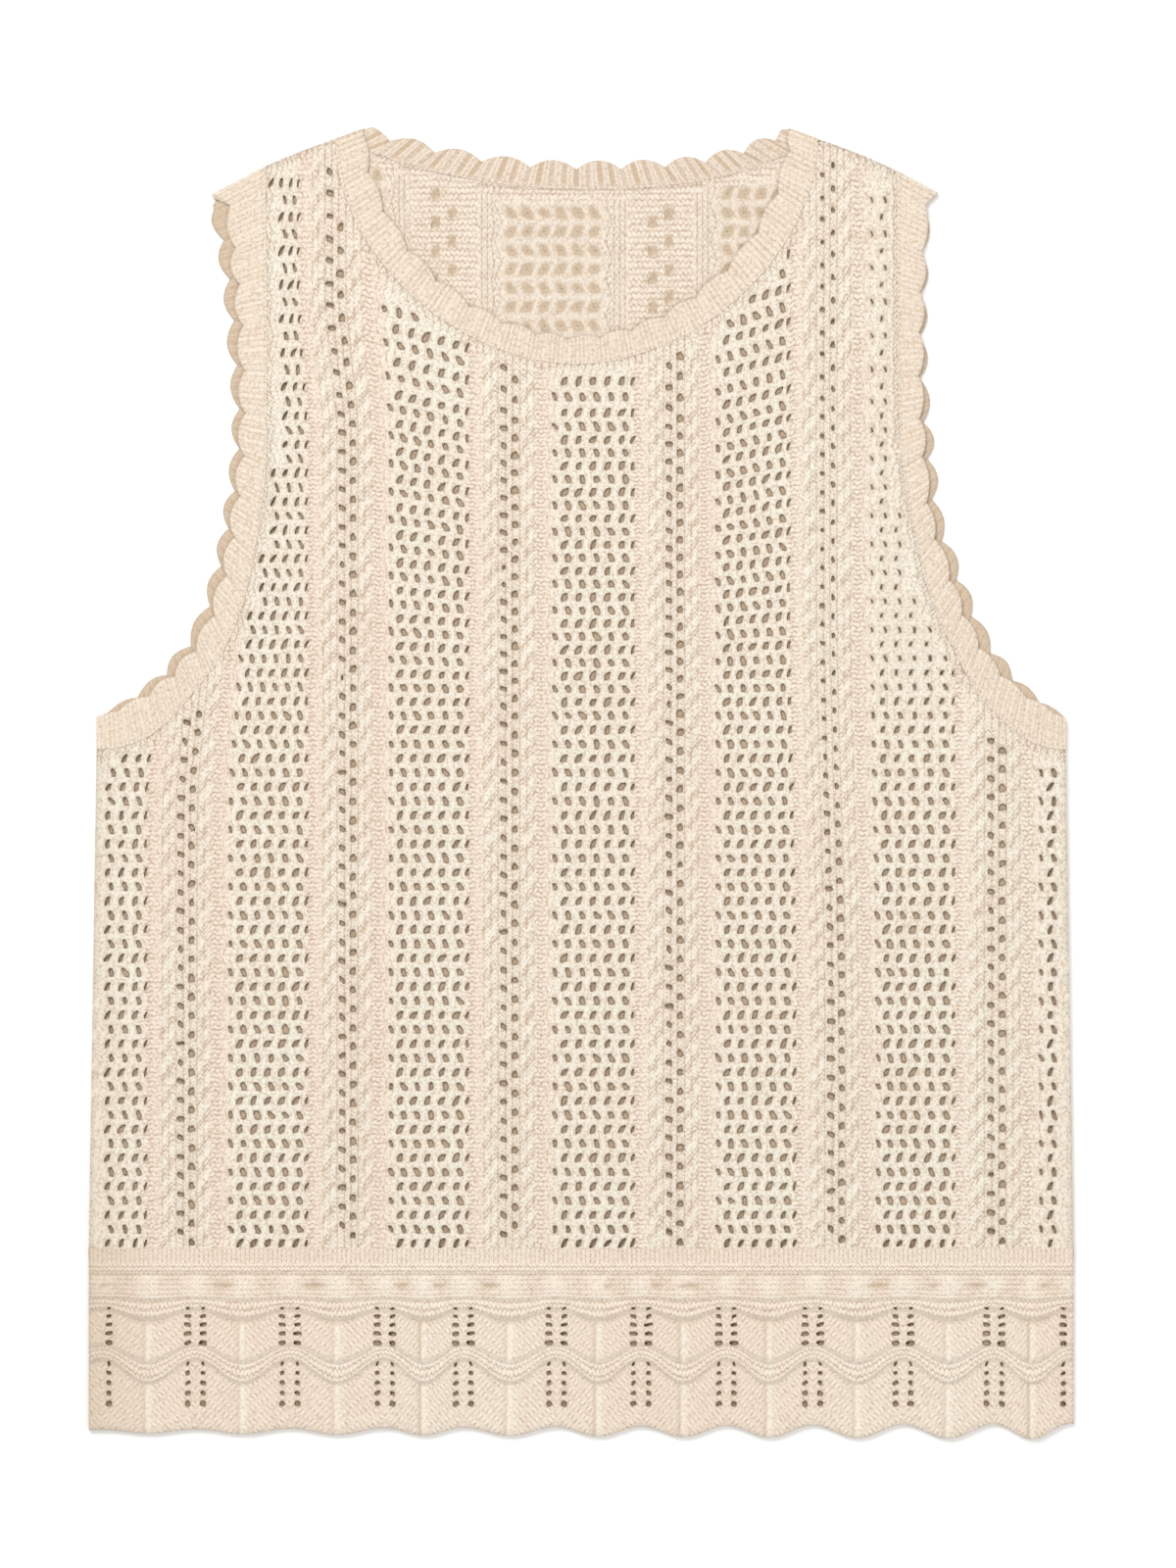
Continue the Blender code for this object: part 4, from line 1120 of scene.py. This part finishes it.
for strip in range(6):
    middle = NET_CENTRE + (strip - 3) * REPEAT
    for hand, kind in STRIP_EYELETS.items():
        first = EYELET_STARTS[hand][strip] * MM - 25 * EYELET_PITCH
        spots = first + EYELET_PITCH * np.arange(80)
        spots = spots[(spots > front_up[3]) & (spots < front_up[-3])]
        rows = np.array([int(np.abs(front_up - spot).argmin()) for spot in spots])
        sizes = eyelets(len(spots), *kind)
        sizes[:, 4] += 0.3 * chance.normal(0, 1, len(spots))
        if strip == 4:
            sizes[:, :2] *= 1 - np.outer(smooth_step((spots + 0.06) / 0.10), STRIP_DRAWN)
        for i in lines_at(front_across, [middle + STRIP_LINES[hand] * MM]):
            front_holes.update({(i, row - 1): size for row, size in zip(rows, sizes)})
            shift = np.interp(front_up, front_up[rows], spots - front_up[rows])
            eyelet_shifts[i : i + 3] = shift * (front_up > front_up[2])
front = knit(
    "front_lace", front_across, front_up, lay_front, front_heights, front_looks, front_holes,
    front_outline,
)
front_cotton = cotton("cotton_front", "#EBE6D7", "#E9D8C8")
front.data.materials.append(front_cotton)
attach(front, "root")
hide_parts("front_body")


# ---------------------------------------------------------------------------------------------
# Front hem border. Cotton knitted downwards from the panel: a plain strip, a sideways braid, then
# two tiers of eyelet pairs and fans, each under a ridge of purl that waves with the scallops.

HALF_RIDGE = 1.3 / 38  # of the upright ridge, as a share of the way from pair to pair


def front_hem_heights(us, vs, laid, inside):
    """Ridges, humps and slits of the braid, and the upright ridge between two pairs."""
    level = front_level(laid[..., 0], laid[..., 1])
    share = hem_across[:, 1][:, None]
    raised = np.interp(vs, HEM_OVER * MM, HEM_RELIEF)
    braid = bell(vs, -219.0 * MM, 3.4 * MM)
    raised = raised + 0.8 * braid * (np.cos(2 * math.pi * share) ** 2 - 0.4)
    raised = raised - 1.2 * into_slits(us, vs)
    below = np.clip((-228.4 * MM - vs) / (1.5 * MM), 0, 1)
    raised = raised + 0.6 * below * bell(share, 0.5, HALF_RIDGE)
    raised = raised + 0.06 * chance.normal(0, 1, us.shape)
    rolled = 0.9 * fading(inside, 2.4 * MM) ** 2 * (vs < -0.206)
    lip = vs > LIP_START
    linked = 0.12 * np.clip((vs + 206 * MM) / (2 * MM), 0, 1)
    top = level + WALL + (raised * np.clip(inside / (2 * MM), 0, 1) - rolled + linked) * MM
    return top, np.where(lip, level + WALL + 0.03 * MM, level + hollow(inside))


front_hem = knit(
    "front_hem", hem_across[:, 0], hem_up, lay_hem, front_hem_heights, hem_looks, hem_holes(),
)
hem_cotton = cotton("cotton_hem", "#EEE5D6", "#ECDDCC", wale=2.0, course=2.0, speckle=0.4)
front_hem.data.materials.append(hem_cotton)
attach(front_hem, "root")
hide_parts("hem_border_front")


# ---------------------------------------------------------------------------------------------
# Front armhole bands and front neck band, ribbed and scalloped like the back ones.

FRONT_NOTCHES = {
    "neck": (19, 37, 57, 75, 93, 109, 124, 138, 152, 166, 181, 197, 215, 236, 255, 274),
    "left": (8, 26, 42, 60, 79.5, 98, 116.5, 134, 152, 169, 187, 204, 218, 232, 247),
    "right": (7, 27, 44.5, 62, 81, 99.5, 116, 136, 152, 171, 187, 203, 218, 233, 247),
}
rib_cotton = cotton("cotton_rib", "#E9DECE", "#E7D9C7", wale=2.1, course=2.4, contrast=0.7)
bands = {}
for side, hand in ((-1, "left"), (1, "right")):
    bands[hand] = ribbing(
        f"front_armhole_band_{hand}", armhole_seam(side), armhole_line(ARMHOLE_EDGE, side),
        FRONT_NOTCHES[hand], side, front_level, shallow=0.3, side=side,
        scallop=(2.4 if side > 0 else 3.2) * MM, fine=2, ridge=0.26, valley_painted_shade=0.45,
    )
bands["neck"] = ribbing(
    "front_neck_band", neck_seam("front_seam"), neck_line("front_edge", NECK_POINT),
    FRONT_NOTCHES["neck"], 1, front_level, scallop=2.4 * MM, fine=2, ridge=0.24,
)
for hand, band in bands.items():
    band.data.materials.append(rib_cotton)
    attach(band, "root")
    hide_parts("neck_band_front" if hand == "neck" else f"armhole_band_front_{hand}")


# ---------------------------------------------------------------------------------------------
# The surface it is laid on, soft studio light, and the camera straight above.

bpy.ops.mesh.primitive_plane_add(size=4.0, location=(0, 0, -0.0004))
floor = bpy.context.active_object
floor.name = "floor"
bpy.ops.object.transform_apply(location=True)
floor_paint = bpy.data.materials.new("white_paper")
floor_paint.use_nodes = True
paper = floor_paint.node_tree.nodes["Principled BSDF"]
paper.inputs["Base Color"].default_value = linear("#FDFDFC")
paper.inputs["Roughness"].default_value = 0.8
floor.data.materials.append(floor_paint)

for name, spot, aim, size, power in (
    ("key", (-0.5, 0.8, 1.85), (0, 0, 0), 0.9, 24),
    ("fill", (0.8, -0.5, 1.8), (0, 0, 0), 1.6, 12),
):
    light = bpy.data.lights.new(name, "AREA")
    light.size = size
    light.energy = power
    lamp = bpy.data.objects.new(name, light)
    bpy.context.scene.collection.objects.link(lamp)
    lamp.location = spot
    direction = np.array(aim) - np.array(spot)
    lamp.rotation_mode = "QUATERNION"
    lamp.rotation_quaternion = Vector(direction).to_track_quat("-Z", "Y")
world = bpy.data.worlds.new("studio")
world.use_nodes = True
world.node_tree.nodes["Background"].inputs["Color"].default_value = (1, 1, 1, 1)
world.node_tree.nodes["Background"].inputs["Strength"].default_value = 0.55
bpy.context.scene.world = world

CAMERA_HEIGHT = 3.2
PIXEL = 0.4264 * MM  # of the picture, on the garment
FRAME_HEIGHT = 1600 * PIXEL
camera_data = bpy.data.cameras.new("camera")
camera_data.sensor_width = 36
camera_data.lens = 36 * CAMERA_HEIGHT / FRAME_HEIGHT
camera = bpy.data.objects.new("camera", camera_data)
bpy.context.scene.collection.objects.link(camera)
camera.location = (7 * PIXEL, -1.5 * PIXEL, CAMERA_HEIGHT)
camera.rotation_euler = (0, 0, 0)
bpy.context.scene.camera = camera
bpy.context.scene.view_settings.view_transform = "Standard"
